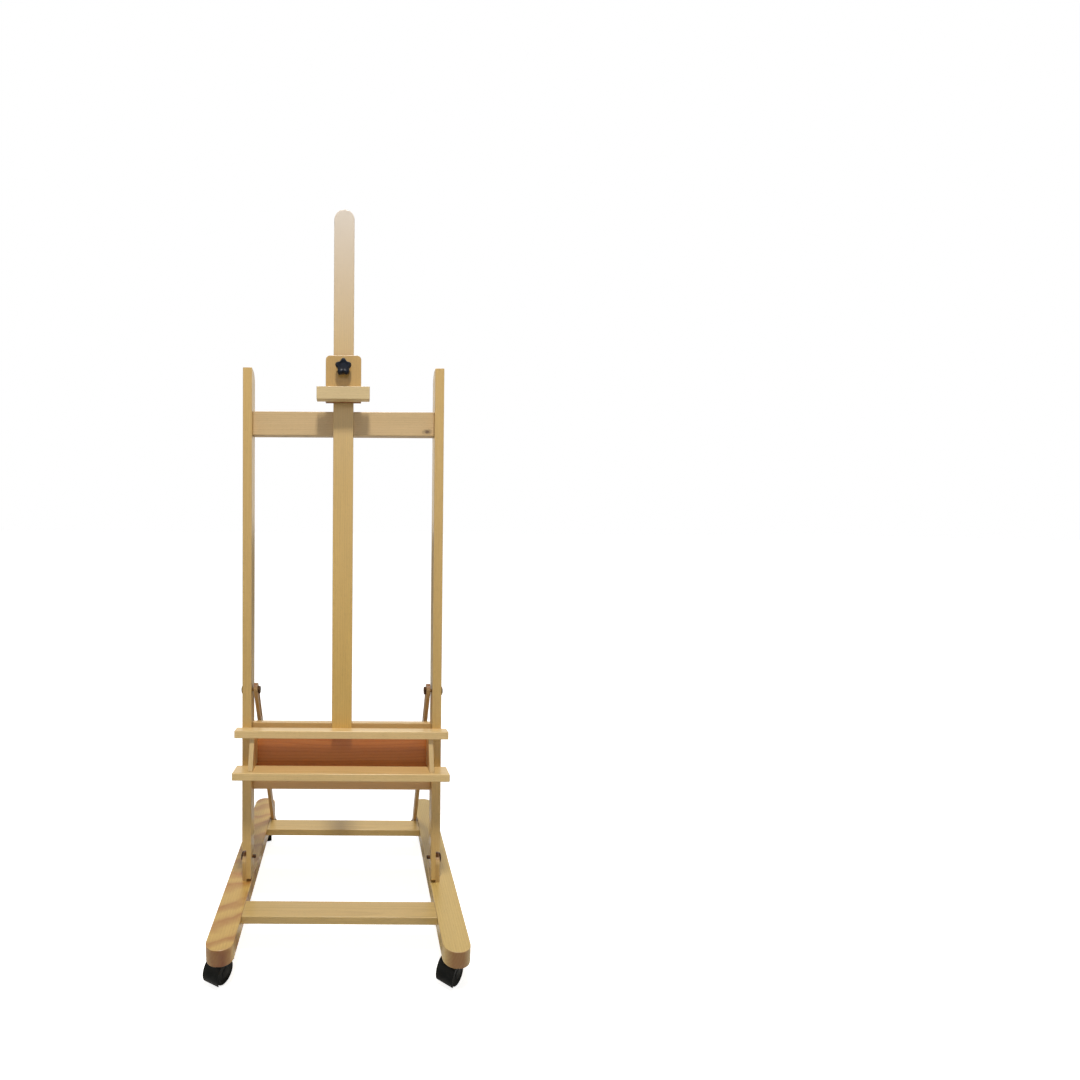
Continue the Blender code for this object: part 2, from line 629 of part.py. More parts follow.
def star_knob_mesh(name, hole_depth, stud_length, stud_radius):
    """A lobed knob on the -Y side of its seat at Y = 0, with a stud out to +Y or a blind hole."""
    count = 8 * KNOB_LOBES
    outline = []
    for step in range(count):
        angle = math.tau * step / count
        radius = KNOB_RADIUS * (1 - KNOB_LOBE_DEPTH * (1 - math.cos(KNOB_LOBES * angle)) / 2)
        outline.append((radius * math.sin(angle), radius * math.cos(angle)))
    knob = plate(name, outline, -KNOB_NECK_LENGTH - KNOB_THICK, -KNOB_NECK_LENGTH, "Y", finish="knob")
    soften(knob, 0.0028)
    neck = rod(f"{name}_neck", KNOB_NECK_RADIUS, (0, -KNOB_NECK_LENGTH - KNOB_THICK / 2, 0), (0, 0, 0))
    unite(knob, neck)
    spare = [neck]
    if stud_length:
        stud = rod(f"{name}_stud", stud_radius, (0, -KNOB_NECK_LENGTH, 0), (0, stud_length, 0))
        unite(knob, stud)
        spare.append(stud)
    if hole_depth:
        hole = rod(f"{name}_hole", stud_radius + BORE_PLAY, (0, -hole_depth, 0), (0, 0.01, 0))
        cut(knob, hole)
        spare.append(hole)
    mesh = settle(knob)
    for cutter in spare:
        bpy.data.objects.remove(cutter, do_unlink=True)
    return mesh


def make_mast():
    """The mast: a long board with a round top and a T-shaped groove up its back."""
    half = MAST_WIDTH / 2
    outline = [(-half, MAST_FOOT), (half, MAST_FOOT)] + arc((0, MAST_TOP - half), half, 0, 180, 20)
    mast = plate("mast", outline, MAST_BACK - MAST_THICK, MAST_BACK, "Y", FRAME, "beech")
    soften(mast, WOOD_ROUND)
    top = MAST_FOOT + GROOVE_LENGTH
    neck = block("groove_neck", (-GROOVE_WIDTH / 2, MAST_BACK - GROOVE_NECK_DEPTH - 0.001, MAST_FOOT - 0.01),
                 (GROOVE_WIDTH / 2, MAST_BACK + 0.01, top), FRAME)
    head = block("groove_head", (-GROOVE_HEAD_WIDTH / 2, MAST_BACK - GROOVE_NECK_DEPTH - GROOVE_HEAD_DEPTH,
                                 MAST_FOOT - 0.02),
                 (GROOVE_HEAD_WIDTH / 2, MAST_BACK - GROOVE_NECK_DEPTH, top + 0.004), FRAME)
    cut(mast, neck)
    cut(mast, head)


def make_mast_clamp():
    """A bolt whose head runs in the mast's groove, through the crossbar to a washer and a star knob."""
    head_back = MAST_BACK - GROOVE_NECK_DEPTH - 0.0006
    seat = CROSSBAR_BACK + TOUCH
    knob_seat = seat + WASHER_THICK + TOUCH
    bolt = rod("mast_clamp_bolt", BOLT_RADIUS, (0, head_back - MAST_BOLT_HEAD_THICK / 2, CROSSBAR_MIDDLE),
               (0, knob_seat + 0.012, CROSSBAR_MIDDLE), FRAME, "steel")
    head = rod("mast_clamp_bolt_head", MAST_BOLT_HEAD, (0, head_back - MAST_BOLT_HEAD_THICK, CROSSBAR_MIDDLE),
               (0, head_back, CROSSBAR_MIDDLE), FRAME)
    unite(bolt, head)
    washer = rod("mast_clamp_washer", WASHER_RADIUS, (0, seat, CROSSBAR_MIDDLE),
                 (0, seat + WASHER_THICK, CROSSBAR_MIDDLE), FRAME, "steel")
    bore = rod("washer_bore", BOLT_RADIUS + BORE_PLAY, (0, seat - 0.01, CROSSBAR_MIDDLE),
               (0, seat + 0.01, CROSSBAR_MIDDLE), FRAME)
    cut(washer, bore)
    axis = pivot("mast_knob_axis", (0, knob_seat, CROSSBAR_MIDDLE), (0, 0, math.pi), FRAME)
    new_piece("mast_clamp_knob", star_knob_mesh("mast_clamp_knob", 0.013, 0, BOLT_RADIUS), axis, "knob")


make_mast()
make_mast_clamp()


# ---- Holder ----

def make_holder():
    """The sleeve that slides on the mast, with a ledge that comes down on a canvas's upper edge."""
    foot, top = HOLDER_FOOT, HOLDER_FOOT + HOLDER_TALL
    half = HOLDER_WIDTH / 2
    mast_front = MAST_BACK - MAST_THICK
    plate_back = mast_front - SLIDE_PLAY
    plate_front = plate_back - HOLDER_PLATE_THICK
    outline = [(-half, foot), (half, foot)]
    outline += arc((half - HOLDER_CORNER_RADIUS, top - HOLDER_CORNER_RADIUS), HOLDER_CORNER_RADIUS, 0, 90, 6)
    outline += arc((-half + HOLDER_CORNER_RADIUS, top - HOLDER_CORNER_RADIUS),
                   HOLDER_CORNER_RADIUS, 90, 180, 6)
    knob_height = foot + HOLDER_KNOB_RISE
    front = plate("holder_plate", outline, plate_front, plate_back, "Y", FRAME, "beech")
    soften(front, WOOD_ROUND * 0.8)
    bore = rod("holder_bore", BOLT_RADIUS + BORE_PLAY, (0, plate_front - 0.01, knob_height),
               (0, plate_back + 0.01, knob_height), FRAME)
    cut(front, bore)
    side_front = plate_back + TOUCH
    side_back = MAST_BACK + SLIDE_PLAY
    sleeve_foot, sleeve_top = foot + HOLDER_SLEEVE_RISE, top - HOLDER_CORNER_RADIUS
    for side, sign in SIDES.items():
        low, high = sorted((sign * (MAST_WIDTH / 2 + SLIDE_PLAY), sign * half))
        cheek = block(f"holder_side_{side}", (low, side_front, sleeve_foot),
                      (high, side_back, sleeve_top), FRAME, "beech")
        soften(cheek, WOOD_ROUND / 2, 1)
    back = block("holder_back", (-half, side_back + TOUCH, sleeve_foot),
                 (half, side_back + TOUCH + HOLDER_BACK_THICK, sleeve_top), FRAME, "beech")
    soften(back, WOOD_ROUND)
    ledge = block("holder_ledge", (-HOLDER_LEDGE_WIDTH / 2, plate_front - TOUCH - HOLDER_LEDGE_DEPTH, foot),
                  (HOLDER_LEDGE_WIDTH / 2, plate_front - TOUCH, foot + HOLDER_LEDGE_TALL), FRAME, "beech")
    soften(ledge, WOOD_ROUND)
    axis = pivot("holder_knob_axis", (0, plate_front - TOUCH, knob_height), (0, 0, 0), FRAME)
    stud = HOLDER_PLATE_THICK + TOUCH
    new_piece("holder_knob", star_knob_mesh("holder_knob", 0, stud, BOLT_RADIUS), axis, "knob")


make_holder()


# ---- Struts ----

def strut_mesh(name, low, high):
    """A strut in its own axes: foot pivot at zero, along +Z, with the slot for the upper bolt."""
    half = STRUT_WIDTH / 2
    slot_half = BOLT_RADIUS + SLOT_PLAY
    shoulder = STRUT_REACH + STRUT_END - STRUT_TOP_RADIUS
    inner = half - STRUT_TOP_RADIUS
    outline = arc((0, 0), half, 180, 360, 10)
    outline += arc((inner, shoulder), STRUT_TOP_RADIUS, 0, 90, 4)
    outline += arc((-inner, shoulder), STRUT_TOP_RADIUS, 90, 180, 4)
    strut = plate(name, outline, low, high, "X", finish="beech")
    soften(strut, WOOD_ROUND * 0.8)
    slot_low = STRUT_REACH_TILTED - SLOT_END_PLAY
    slot_high = STRUT_REACH + SLOT_END_PLAY - BOLT_RADIUS / 2
    slot_outline = arc((0, slot_low), slot_half, 180, 360, 8) + arc((0, slot_high), slot_half, 0, 180, 8)
    slot = plate(f"{name}_slot", slot_outline, low - 0.01, high + 0.01, "X")
    cut(strut, slot)
    bore = rod(f"{name}_bore", FOOT_BOLT_RADIUS + BORE_PLAY, (low - 0.01, 0, 0), (high + 0.01, 0, 0))
    cut(strut, bore)
    mesh = settle(strut)
    for cutter in (slot, bore):
        bpy.data.objects.remove(cutter, do_unlink=True)
    return mesh


def make_strut(side, sign):
    """A slotted strut with its foot bolt, its upper bolt through the post and its thumb nut."""
    low, high = sorted((sign * (STRUT_OUTER - STRUT_THICK), sign * STRUT_OUTER))
    foot = pivot(f"strut_pivot_{side}", (0, FOOT_Y, FOOT_Z), (STRUT_ANGLE, 0, 0))
    new_piece(f"strut_{side}", strut_mesh(f"strut_{side}", low, high), foot, "beech")
    inner = STRUT_OUTER - STRUT_THICK
    foot_bolt = rod(f"strut_foot_bolt_{side}", FOOT_BOLT_RADIUS,
                    (sign * (inner - FOOT_BOLT_HEAD_THICK / 2), FOOT_Y, FOOT_Z),
                    (sign * (RUNNER_INNER + FOOT_BOLT_GRIP), FOOT_Y, FOOT_Z), None, "steel")
    head = rod(f"strut_foot_bolt_head_{side}", FOOT_BOLT_HEAD_RADIUS,
               (sign * (inner - TOUCH - FOOT_BOLT_HEAD_THICK), FOOT_Y, FOOT_Z),
               (sign * (inner - TOUCH), FOOT_Y, FOOT_Z))
    unite(foot_bolt, head)
    place = (0.0, STRUT_BOLT_RISE)
    seat = inner - TOUCH
    tip = seat - THUMB_NUT_THICK + 0.0005
    make_bolt(f"strut_bolt_{side}", sign, POST_OUTER, tip, place, FRAME)
    axis = pivot(f"thumb_nut_axis_{side}", (0, *place), (0, 0, 0), FRAME)
    outline = []
    for step in range(4 * THUMB_NUT_LOBES):
        angle = math.tau * step / (4 * THUMB_NUT_LOBES)
        radius = THUMB_NUT_RADIUS - THUMB_NUT_LOBE_DEPTH * (1 - math.cos(THUMB_NUT_LOBES * angle)) / 2
        outline.append((radius * math.cos(angle), radius * math.sin(angle)))
    low, high = sorted((sign * (seat - THUMB_NUT_THICK), sign * seat))
    nut = plate(f"thumb_nut_{side}", outline, low, high, "X", axis, "steel")
    bore = rod(f"thumb_nut_bore_{side}", BOLT_RADIUS + BORE_PLAY, (sign * (tip - 0.02), 0, 0),
               (sign * (seat + 0.01), 0, 0), axis)
    cut(nut, bore)


for side, sign in SIDES.items():
    make_strut(side, sign)
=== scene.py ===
"""Studio easel of oiled wood on four black castors: the looks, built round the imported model."""
import json
import math

import bpy
import numpy as np
from mathutils import Euler, Matrix, Vector


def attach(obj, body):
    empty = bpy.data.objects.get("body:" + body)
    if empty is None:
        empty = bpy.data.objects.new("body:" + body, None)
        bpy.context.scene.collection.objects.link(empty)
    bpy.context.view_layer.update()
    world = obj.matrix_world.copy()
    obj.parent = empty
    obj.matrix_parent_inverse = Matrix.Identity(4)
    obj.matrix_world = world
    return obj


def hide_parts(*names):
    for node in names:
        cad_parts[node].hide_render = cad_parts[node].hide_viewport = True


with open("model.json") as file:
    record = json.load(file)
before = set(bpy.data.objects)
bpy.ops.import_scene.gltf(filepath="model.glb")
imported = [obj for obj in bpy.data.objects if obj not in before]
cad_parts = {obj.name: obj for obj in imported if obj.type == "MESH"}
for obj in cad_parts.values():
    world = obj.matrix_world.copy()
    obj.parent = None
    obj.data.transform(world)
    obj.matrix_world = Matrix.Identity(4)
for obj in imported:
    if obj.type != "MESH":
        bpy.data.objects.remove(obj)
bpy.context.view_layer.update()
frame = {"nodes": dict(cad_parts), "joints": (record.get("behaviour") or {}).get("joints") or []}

# ---- Studio: camera, floor and light ----
# A camera at a standing person's chest, tipped down a little and shifted, so that the easel
# stands left of the middle. A pale sweep of floor, one broad soft lamp above and in front of
# the easel, two fills and a white surround.

CAMERA_PLACE = (0.0327, -1.2974, 0.9234)
CAMERA_TIP = math.radians(7.234)
CAMERA_ROLL = math.radians(0.34)
CAMERA_LENS = 18.657
CAMERA_SHIFT = (0.1697, 0.0492)

scene = bpy.context.scene
camera_data = bpy.data.cameras.new("camera")
camera_data.lens = CAMERA_LENS
camera_data.shift_x, camera_data.shift_y = CAMERA_SHIFT
camera = bpy.data.objects.new("camera", camera_data)
camera.location = CAMERA_PLACE
camera.rotation_euler = (Matrix.Rotation(math.radians(90) - CAMERA_TIP, 3, "X")
                         @ Matrix.Rotation(CAMERA_ROLL, 3, "Z")).to_euler()
scene.collection.objects.link(camera)
scene.camera = camera
scene.view_settings.view_transform = "Standard"
scene.view_settings.look = "None"

FLOOR_SIZE = 90.0
FLOOR_COLOUR, FLOOR_MOTTLE = (0.88, 0.88, 0.87), (0.867, 0.867, 0.857)
FLOOR_GLOW = 0.86              # light of the floor itself, seen by the camera only
SURROUND_LIGHT = 0.14          # of the white surround on the easel
SURROUND_SHEEN = 1.05          # of the same in its sheen
SURROUND_COLOUR = (1.0, 0.93, 0.82)


def add_node(tree, kind, inputs=(), **settings):
    """A shader node with its settings, and its inputs by name or number: a socket is linked and
    anything else is set."""
    node = tree.nodes.new(kind)
    for setting, value in settings.items():
        setattr(node, setting, value)
    for socket, value in dict(inputs).items():
        if isinstance(value, bpy.types.NodeSocket):
            tree.links.new(value, node.inputs[socket])
        else:
            node.inputs[socket].default_value = value
    return node


def new_material(name):
    """A material with its tree and its shader."""
    material = bpy.data.materials.new(name)
    material.use_nodes = True
    return material, material.node_tree, material.node_tree.nodes["Principled BSDF"]


def math_node(tree, operation, *values, **settings):
    """The result of a maths node on sockets or numbers."""
    node = add_node(tree, "ShaderNodeMath", enumerate(values), operation=operation, **settings)
    return node.outputs[0]


def vector_node(tree, operation, *values):
    """The result of vector maths: a number for a length or a dot product, else a vector."""
    number = operation in ("LENGTH", "DOT_PRODUCT")
    node = add_node(tree, "ShaderNodeVectorMath", enumerate(values), operation=operation)
    return node.outputs[number]


def scaled_vector(tree, vector, factor):
    """A vector or a colour times a number."""
    node = add_node(tree, "ShaderNodeVectorMath", {0: vector, "Scale": factor}, operation="SCALE")
    return node.outputs[0]


def noise(tree, place, scale, detail):
    """The level of a noise."""
    return add_node(tree, "ShaderNodeTexNoise",
                    {"Vector": place, "Scale": scale, "Detail": detail}).outputs["Fac"]


def mixed(tree, amount, one, other, blend="MIX"):
    """Two colours mixed by an amount."""
    return add_node(tree, "ShaderNodeMix", {0: amount, 6: one, 7: other}, data_type="RGBA",
                    blend_type=blend).outputs[2]


def ramp_node(tree, value, stops):
    """A grey ramp through (place, brightness) stops."""
    node = add_node(tree, "ShaderNodeValToRGB", {"Fac": value})
    elements = node.color_ramp.elements
    while len(elements) < len(stops):
        elements.new(0.5)
    for element, (place, level) in zip(elements, stops):
        element.position = place
        element.color = (level, level, level, 1)
    return node.outputs["Color"]


def add_floor():
    """A pale matt floor with the faintest mottling, so that it isn't one flat colour. It glows
    for the camera alone, which keeps it as pale as the surround without lighting the easel."""
    half = FLOOR_SIZE / 2
    mesh = bpy.data.meshes.new("floor")
    mesh.from_pydata([(-half, -half, 0), (half, -half, 0), (half, half, 0), (-half, half, 0)], [],
                     [(0, 1, 2, 3)])
    floor = bpy.data.objects.new("floor", mesh)
    scene.collection.objects.link(floor)
    material, tree, shader = new_material("pale_floor")
    shader.inputs["Roughness"].default_value = 0.9
    shader.inputs["Emission Color"].default_value = (1, 1, 1, 1)
    mottle = add_node(tree, "ShaderNodeTexNoise", {"Scale": 1.5}).outputs["Fac"]
    tree.links.new(mixed(tree, mottle, (*FLOOR_MOTTLE, 1), (*FLOOR_COLOUR, 1)),
                   shader.inputs["Base Color"])
    seen = add_node(tree, "ShaderNodeLightPath").outputs["Is Camera Ray"]
    tree.links.new(math_node(tree, "MULTIPLY", seen, FLOOR_GLOW), shader.inputs["Emission Strength"])
    mesh.materials.append(material)


def add_lamp(name, place, aim, size, watts, colour=(1, 1, 1)):
    """A square soft lamp that faces a point."""
    data = bpy.data.lights.new(name, "AREA")
    data.size = size
    data.energy = watts
    data.color = colour
    lamp = bpy.data.objects.new(name, data)
    lamp.location = place
    lamp.rotation_euler = (Vector(aim) - Vector(place)).to_track_quat("-Z", "Y").to_euler()
    scene.collection.objects.link(lamp)


def add_surround():
    """A white surround that the camera sees at full brightness, the easel at less and a little
    warmer, and its sheen at nearly full."""
    world = bpy.data.worlds.new("white_surround")
    world.use_nodes = True
    tree = world.node_tree
    background = tree.nodes["Background"].inputs
    seen = add_node(tree, "ShaderNodeLightPath").outputs
    strength = SURROUND_LIGHT
    for ray, level in (("Is Glossy Ray", SURROUND_SHEEN), ("Is Camera Ray", 1.0)):
        strength = add_node(tree, "ShaderNodeMapRange", {
            "Value": seen[ray], "To Min": strength, "To Max": level}).outputs["Result"]
    tree.links.new(strength, background["Strength"])
    tree.links.new(mixed(tree, seen["Is Camera Ray"], (*SURROUND_COLOUR, 1), (1, 1, 1, 1)),
                   background["Color"])
    scene.world = world


add_floor()
add_surround()
add_lamp("key", (0.06, -1.25, 4.3), (0, 0, 0.8), 0.45, 104, (1.0, 0.975, 0.93))
add_lamp("fill_front", (0.0, -3.2, 1.9), (0, 0, 0.7), 1.6, 4)
add_lamp("fill_left", (-2.6, -1.0, 1.5), (0, 0, 0.7), 1.4, 3)
add_lamp("fill_right", (2.6, -1.0, 1.5), (0, 0, 0.7), 1.4, 2.5)
add_lamp("rim", (0.0, 2.2, 2.6), (0, 0, 0.7), 1.6, 5)

# ---- Runners ----
# The two feet of the base: planks of figured softwood with round ends and sanded edges. They
# lie along the floor on the castors, and everything else stands on them.

JOINTS = {joint["name"]: joint for joint in frame["joints"]}
UPRIGHT = Matrix.Identity(4)
EDGE_STEPS = 4                 # facets across a sanded edge
SANDED = 0.0018                # radius of a sanded edge
FINE_SANDED = 0.0006           # of the same on a board's end
CREASE = math.radians(32)      # a sharper bend than this is shaded as an edge


def span(node, axes=UPRIGHT):
    """Lowest and highest corner of a CAD node, measured along the axes of a 4x4 matrix."""
    vertices = frame["nodes"][node].data.vertices
    points = np.empty(len(vertices) * 3)
    vertices.foreach_get("co", points)
    inverse = np.array(axes.inverted())
    points = points.reshape(-1, 3) @ inverse[:3, :3].T + inverse[:3, 3]
    return points.min(axis=0), points.max(axis=0)


def rounded(corners, radii, steps=6):
    """A polygon with its corners rounded: each corner gives way to an arc that touches both its
    sides, centred on the corner's bisector. Returns the points and the unit normals to its right."""
    corners = np.asarray(corners, float)
    radii = np.broadcast_to(radii, len(corners))
    points, normals = [], []
    for index, (corner, radius) in enumerate(zip(corners, radii)):
        before = corner - corners[index - 1]
        after = corners[(index + 1) % len(corners)] - corner
        before, after = before / np.linalg.norm(before), after / np.linalg.norm(after)
        turn = math.atan2(before[0] * after[1] - before[1] * after[0], before @ after)
        right = np.array([before[1], -before[0]])
        side = math.copysign(1.0, turn)
        start = corner - before * radius * abs(math.tan(turn / 2))
        centre = start - right * radius * side
        for angle in np.linspace(0, turn, steps + 1 if abs(turn) > 1e-6 else 1):
            cosine, sine = math.cos(angle), math.sin(angle)
            normal = np.array([right[0] * cosine - right[1] * sine,
                               right[0] * sine + right[1] * cosine])
            points.append(centre + normal * radius * side)
            normals.append(normal)
    return np.array(points), np.array(normals)


def box_outline(low, high, radii, steps=4):
    """A rectangle between two corners, anticlockwise, with its corners rounded by one radius or
    by four, from the lowest corner round."""
    return rounded(((low[0], low[1]), (high[0], low[1]), (high[0], high[1]), (low[0], high[1])),
                   radii, steps)


def new_mesh(name, points, faces, normals=None, edge=None):
    """An object in the scene from arrays, smooth, with its own normals and its mask of worn edges, which also
    carries a painted highlight on them.
    """
    mesh = bpy.data.meshes.new(name)
    mesh.from_pydata(points, [], faces)
    mesh.shade_smooth()
    if edge is not None:
        mask = mesh.attributes.new("edge", "FLOAT", "POINT")
        mask.data.foreach_set("value", np.asarray(edge, np.float32))
    if normals is None:
        mesh.set_sharp_from_angle(angle=CREASE)
    else:
        mesh.normals_split_custom_set_from_vertices(normals)
    piece = bpy.data.objects.new(name, mesh)
    scene.collection.objects.link(piece)
    return piece


def plank(name, outline, low, high, axes, edge=SANDED):
    """A solid with a flat outline, given anticlockwise as points and normals in the first two
    axes, from low to high along the third. Each rim is a quarter round: the outline moves in
    by edge * (1 - cos t) as the height nears the face by edge * (1 - sin t), t from 0 to 90."""
    points, normals = outline
    quarter = np.linspace(0, math.pi / 2, EDGE_STEPS + 1)
    inset = np.concatenate([edge * (1 - np.sin(quarter)), edge * (1 - np.cos(quarter))])
    height = np.concatenate([low + edge * (1 - np.cos(quarter)), high - edge * (1 - np.sin(quarter))])
    tilt = np.concatenate([-np.cos(quarter), np.sin(quarter)])
    flat = np.sqrt(1 - tilt ** 2)
    count = len(points)
    rings = np.concatenate([
        points[None] - normals[None] * inset[:, None, None],
        np.broadcast_to(height[:, None, None], (len(height), count, 1))], axis=2)
    facing = np.concatenate([
        normals[None] * flat[:, None, None],
        np.broadcast_to(tilt[:, None, None], (len(height), count, 1))], axis=2)
    # Mask of the rounded edges: rubbed wear, and partly a painted highlight where the rounding catches the
    # light.
    rub_and_highlight = np.broadcast_to((4 * flat ** 2 * tilt ** 2)[:, None], (len(height), count))
    matrix = np.array(axes)
    here = rings.reshape(-1, 3) @ matrix[:3, :3].T + matrix[:3, 3]
    facing = facing.reshape(-1, 3) @ matrix[:3, :3].T
    column = np.arange(count)
    following = (column + 1) % count
    faces = [tuple(column[::-1]), tuple(column + (len(height) - 1) * count)]
    for row in range(len(height) - 1):
        under, over = row * count, (row + 1) * count
        faces += list(zip(column + under, following + under, following + over, column + over))
    return new_mesh(name, here, faces, facing, rub_and_highlight.reshape(-1))


def axes_from(first, second, third, origin=(0, 0, 0)):
    """A 4x4 matrix whose columns are three axes and an origin."""
    matrix = Matrix.Identity(4)
    for column, axis in enumerate((first, second, third, origin)):
        for row in range(3):
            matrix[row][column] = axis[row]
    return matrix


def new_group(name, inputs, outputs):
    """An empty shader node group: inputs are (name, kind, default), outputs are (name, kind)."""
    tree = bpy.data.node_groups.new(name, "ShaderNodeTree")
    for label, kind, default in inputs:
        socket = tree.interface.new_socket(label, in_out="INPUT", socket_type=f"NodeSocket{kind}")
        if default is not None:
            socket.default_value = default
    for label, kind in outputs:
        tree.interface.new_socket(label, in_out="OUTPUT", socket_type=f"NodeSocket{kind}")
    return tree, tree.nodes.new("NodeGroupInput"), tree.nodes.new("NodeGroupOutput")


LOOK = (("Color", "Color"), ("Roughness", "Float"), ("Height", "Float"))


def put_out(tree, put, *sockets):
    """Link a group's colour, roughness and, if it has one, its height to its output."""
    for (label, _), socket in zip(LOOK, sockets):
        tree.links.new(socket, put.inputs[label])
    return tree


def timber_group():
    """Wood cut from a log: year rings round the third axis, warped along it, with fine fibres,
    pores and slow changes of tone. It puts out a colour, a roughness and a height."""
    tree, given, put = new_group("timber", (
        ("Vector", "Vector", None), ("Light", "Color", (0.70, 0.50, 0.25, 1)),
        ("Dark", "Color", (0.50, 0.30, 0.12, 1)), ("Ring spacing", "Float", 0.004),
        ("Warp", "Float", 0.01), ("Ring contrast", "Float", 0.5),
        ("Fibre contrast", "Float", 0.3), ("Blotch", "Float", 0.2)), LOOK)
    place = given.outputs["Vector"]

    def stretched_noise(across, along, detail, distortion=0.0):
        """Noise drawn out along the grain."""
        scaled = vector_node(tree, "MULTIPLY", place, (across, across, along))
        return add_node(tree, "ShaderNodeTexNoise",
                        {"Vector": scaled, "Scale": 1.0, "Detail": detail, "Distortion": distortion})

    bend = stretched_noise(11, 2.6, 2.0).outputs["Color"]
    centred = vector_node(tree, "SUBTRACT", bend, (0.5, 0.5, 0.5))
    moved = vector_node(tree, "ADD", place, scaled_vector(tree, centred, given.outputs["Warp"]))
    reach = vector_node(tree, "LENGTH", vector_node(tree, "MULTIPLY", moved, (1, 1, 0)))
    rings = math_node(tree, "DIVIDE", reach, given.outputs["Ring spacing"])
    across = math_node(tree, "FRACT", rings)
    late = ramp_node(tree, across, ((0.0, 0.0), (0.45, 0.16), (0.80, 0.80), (0.93, 1.0), (1.0, 0.0)))
    year = math_node(tree, "MULTIPLY", math_node(tree, "FLOOR", rings), 0.61)
    vigour = add_node(tree, "ShaderNodeTexNoise", {"W": year, "Scale": 1.0},
                      noise_dimensions="1D").outputs["Fac"]
    streak = stretched_noise(210, 4.0, 4.0, 0.2).outputs["Fac"]
    fibre = stretched_noise(1250, 18.0, 3.0).outputs["Fac"]
    pores = stretched_noise(2300, 110.0, 2.0).outputs["Fac"]
    tone = stretched_noise(14, 2.2, 2.0).outputs["Fac"]

    ring_level = math_node(tree, "MULTIPLY", late, given.outputs["Ring contrast"])
    ring_share = math_node(tree, "MULTIPLY", ring_level, math_node(tree, "ADD", vigour, 0.45))
    streak_share = math_node(tree, "MULTIPLY", math_node(tree, "SUBTRACT", streak, 0.5), 0.55)
    share = math_node(tree, "ADD", ring_share, streak_share, use_clamp=True)
    base = mixed(tree, share, given.outputs["Light"], given.outputs["Dark"])
    fibre_level = math_node(tree, "MULTIPLY_ADD", math_node(tree, "SUBTRACT", fibre, 0.5),
                            given.outputs["Fibre contrast"], 1.0)
    tone_level = math_node(tree, "MULTIPLY_ADD", math_node(tree, "SUBTRACT", tone, 0.5),
                           given.outputs["Blotch"], 1.0)
    pore_level = ramp_node(tree, pores, ((0.0, 1.0), (0.60, 1.0), (0.74, 0.72)))
    wood_level = math_node(tree, "MULTIPLY", fibre_level, tone_level)
    shaded = scaled_vector(tree, base, math_node(tree, "MULTIPLY", wood_level, pore_level))
    gloss = math_node(tree, "MULTIPLY_ADD", share, 0.10,
                      math_node(tree, "MULTIPLY_ADD", fibre, 0.16, 0.36))
    raised = math_node(tree, "MULTIPLY_ADD", pore_level, 0.6, math_node(tree, "MULTIPLY", fibre, 0.35))
    relief = math_node(tree, "SUBTRACT", raised, math_node(tree, "MULTIPLY", late, 0.12))
    return put_out(tree, put, shaded, gloss, relief)


def wear_and_light_group():
    """Handling marks and painted light: an edge that is rubbed paler and glossier, the paleness
    partly a painted highlight where the rounding catches the light, and end grain that drinks
    the oil and turns darker, partly painted shade. The worn edge comes with the mesh, the end
    grain from its normal."""
    tree, given, put = new_group("wear_and_light", (
        ("Color", "Color", None), ("Roughness", "Float", 0.5), ("Along", "Vector", None),
        ("Normal", "Vector", None), ("Vector", "Vector", None)), LOOK[:2])
    edge = add_node(tree, "ShaderNodeAttribute", attribute_name="edge").outputs["Fac"]
    patchy = ramp_node(tree, noise(tree, given.outputs["Vector"], 38.0, 3.0), ((0.35, 0.15), (0.7, 0.75)))
    rubbed_and_highlit = math_node(tree, "MULTIPLY", edge, patchy)
    # Partly painted shade: faces that look along the grain, such as the runners' front ends, are darkened
    # both for end grain and for the shade on them.
    facing = vector_node(tree, "DOT_PRODUCT", given.outputs["Normal"], given.outputs["Along"])
    end = ramp_node(tree, math_node(tree, "ABSOLUTE", facing), ((0.45, 0.0), (0.95, 1.0)))
    # Painted highlight in part: the rounded edges are mixed towards a pale tan.
    paler_rub_and_highlight = mixed(tree, math_node(tree, "MULTIPLY", rubbed_and_highlit, 0.45), given.outputs["Color"],
                  (0.80, 0.62, 0.38, 1))
    darker_end_and_shade = mixed(tree, math_node(tree, "MULTIPLY", end, 0.90), paler_rub_and_highlight, (0.42, 0.24, 0.14, 1), "MULTIPLY")
    glossier = math_node(tree, "SUBTRACT", given.outputs["Roughness"],
                         math_node(tree, "MULTIPLY", rubbed_and_highlit, 0.08))
    return put_out(tree, put, darker_end_and_shade, math_node(tree, "MULTIPLY_ADD", end, 0.16, glossier))


TIMBER = timber_group()
WEAR_AND_PAINTED_LIGHT = wear_and_light_group()
PITH_OFFSET = (0.055, 0.018)   # of the log's heart from a board's middle, across and through
FIBRE_CONTRAST = 0.22
WOOD_RELIEF = 0.00022


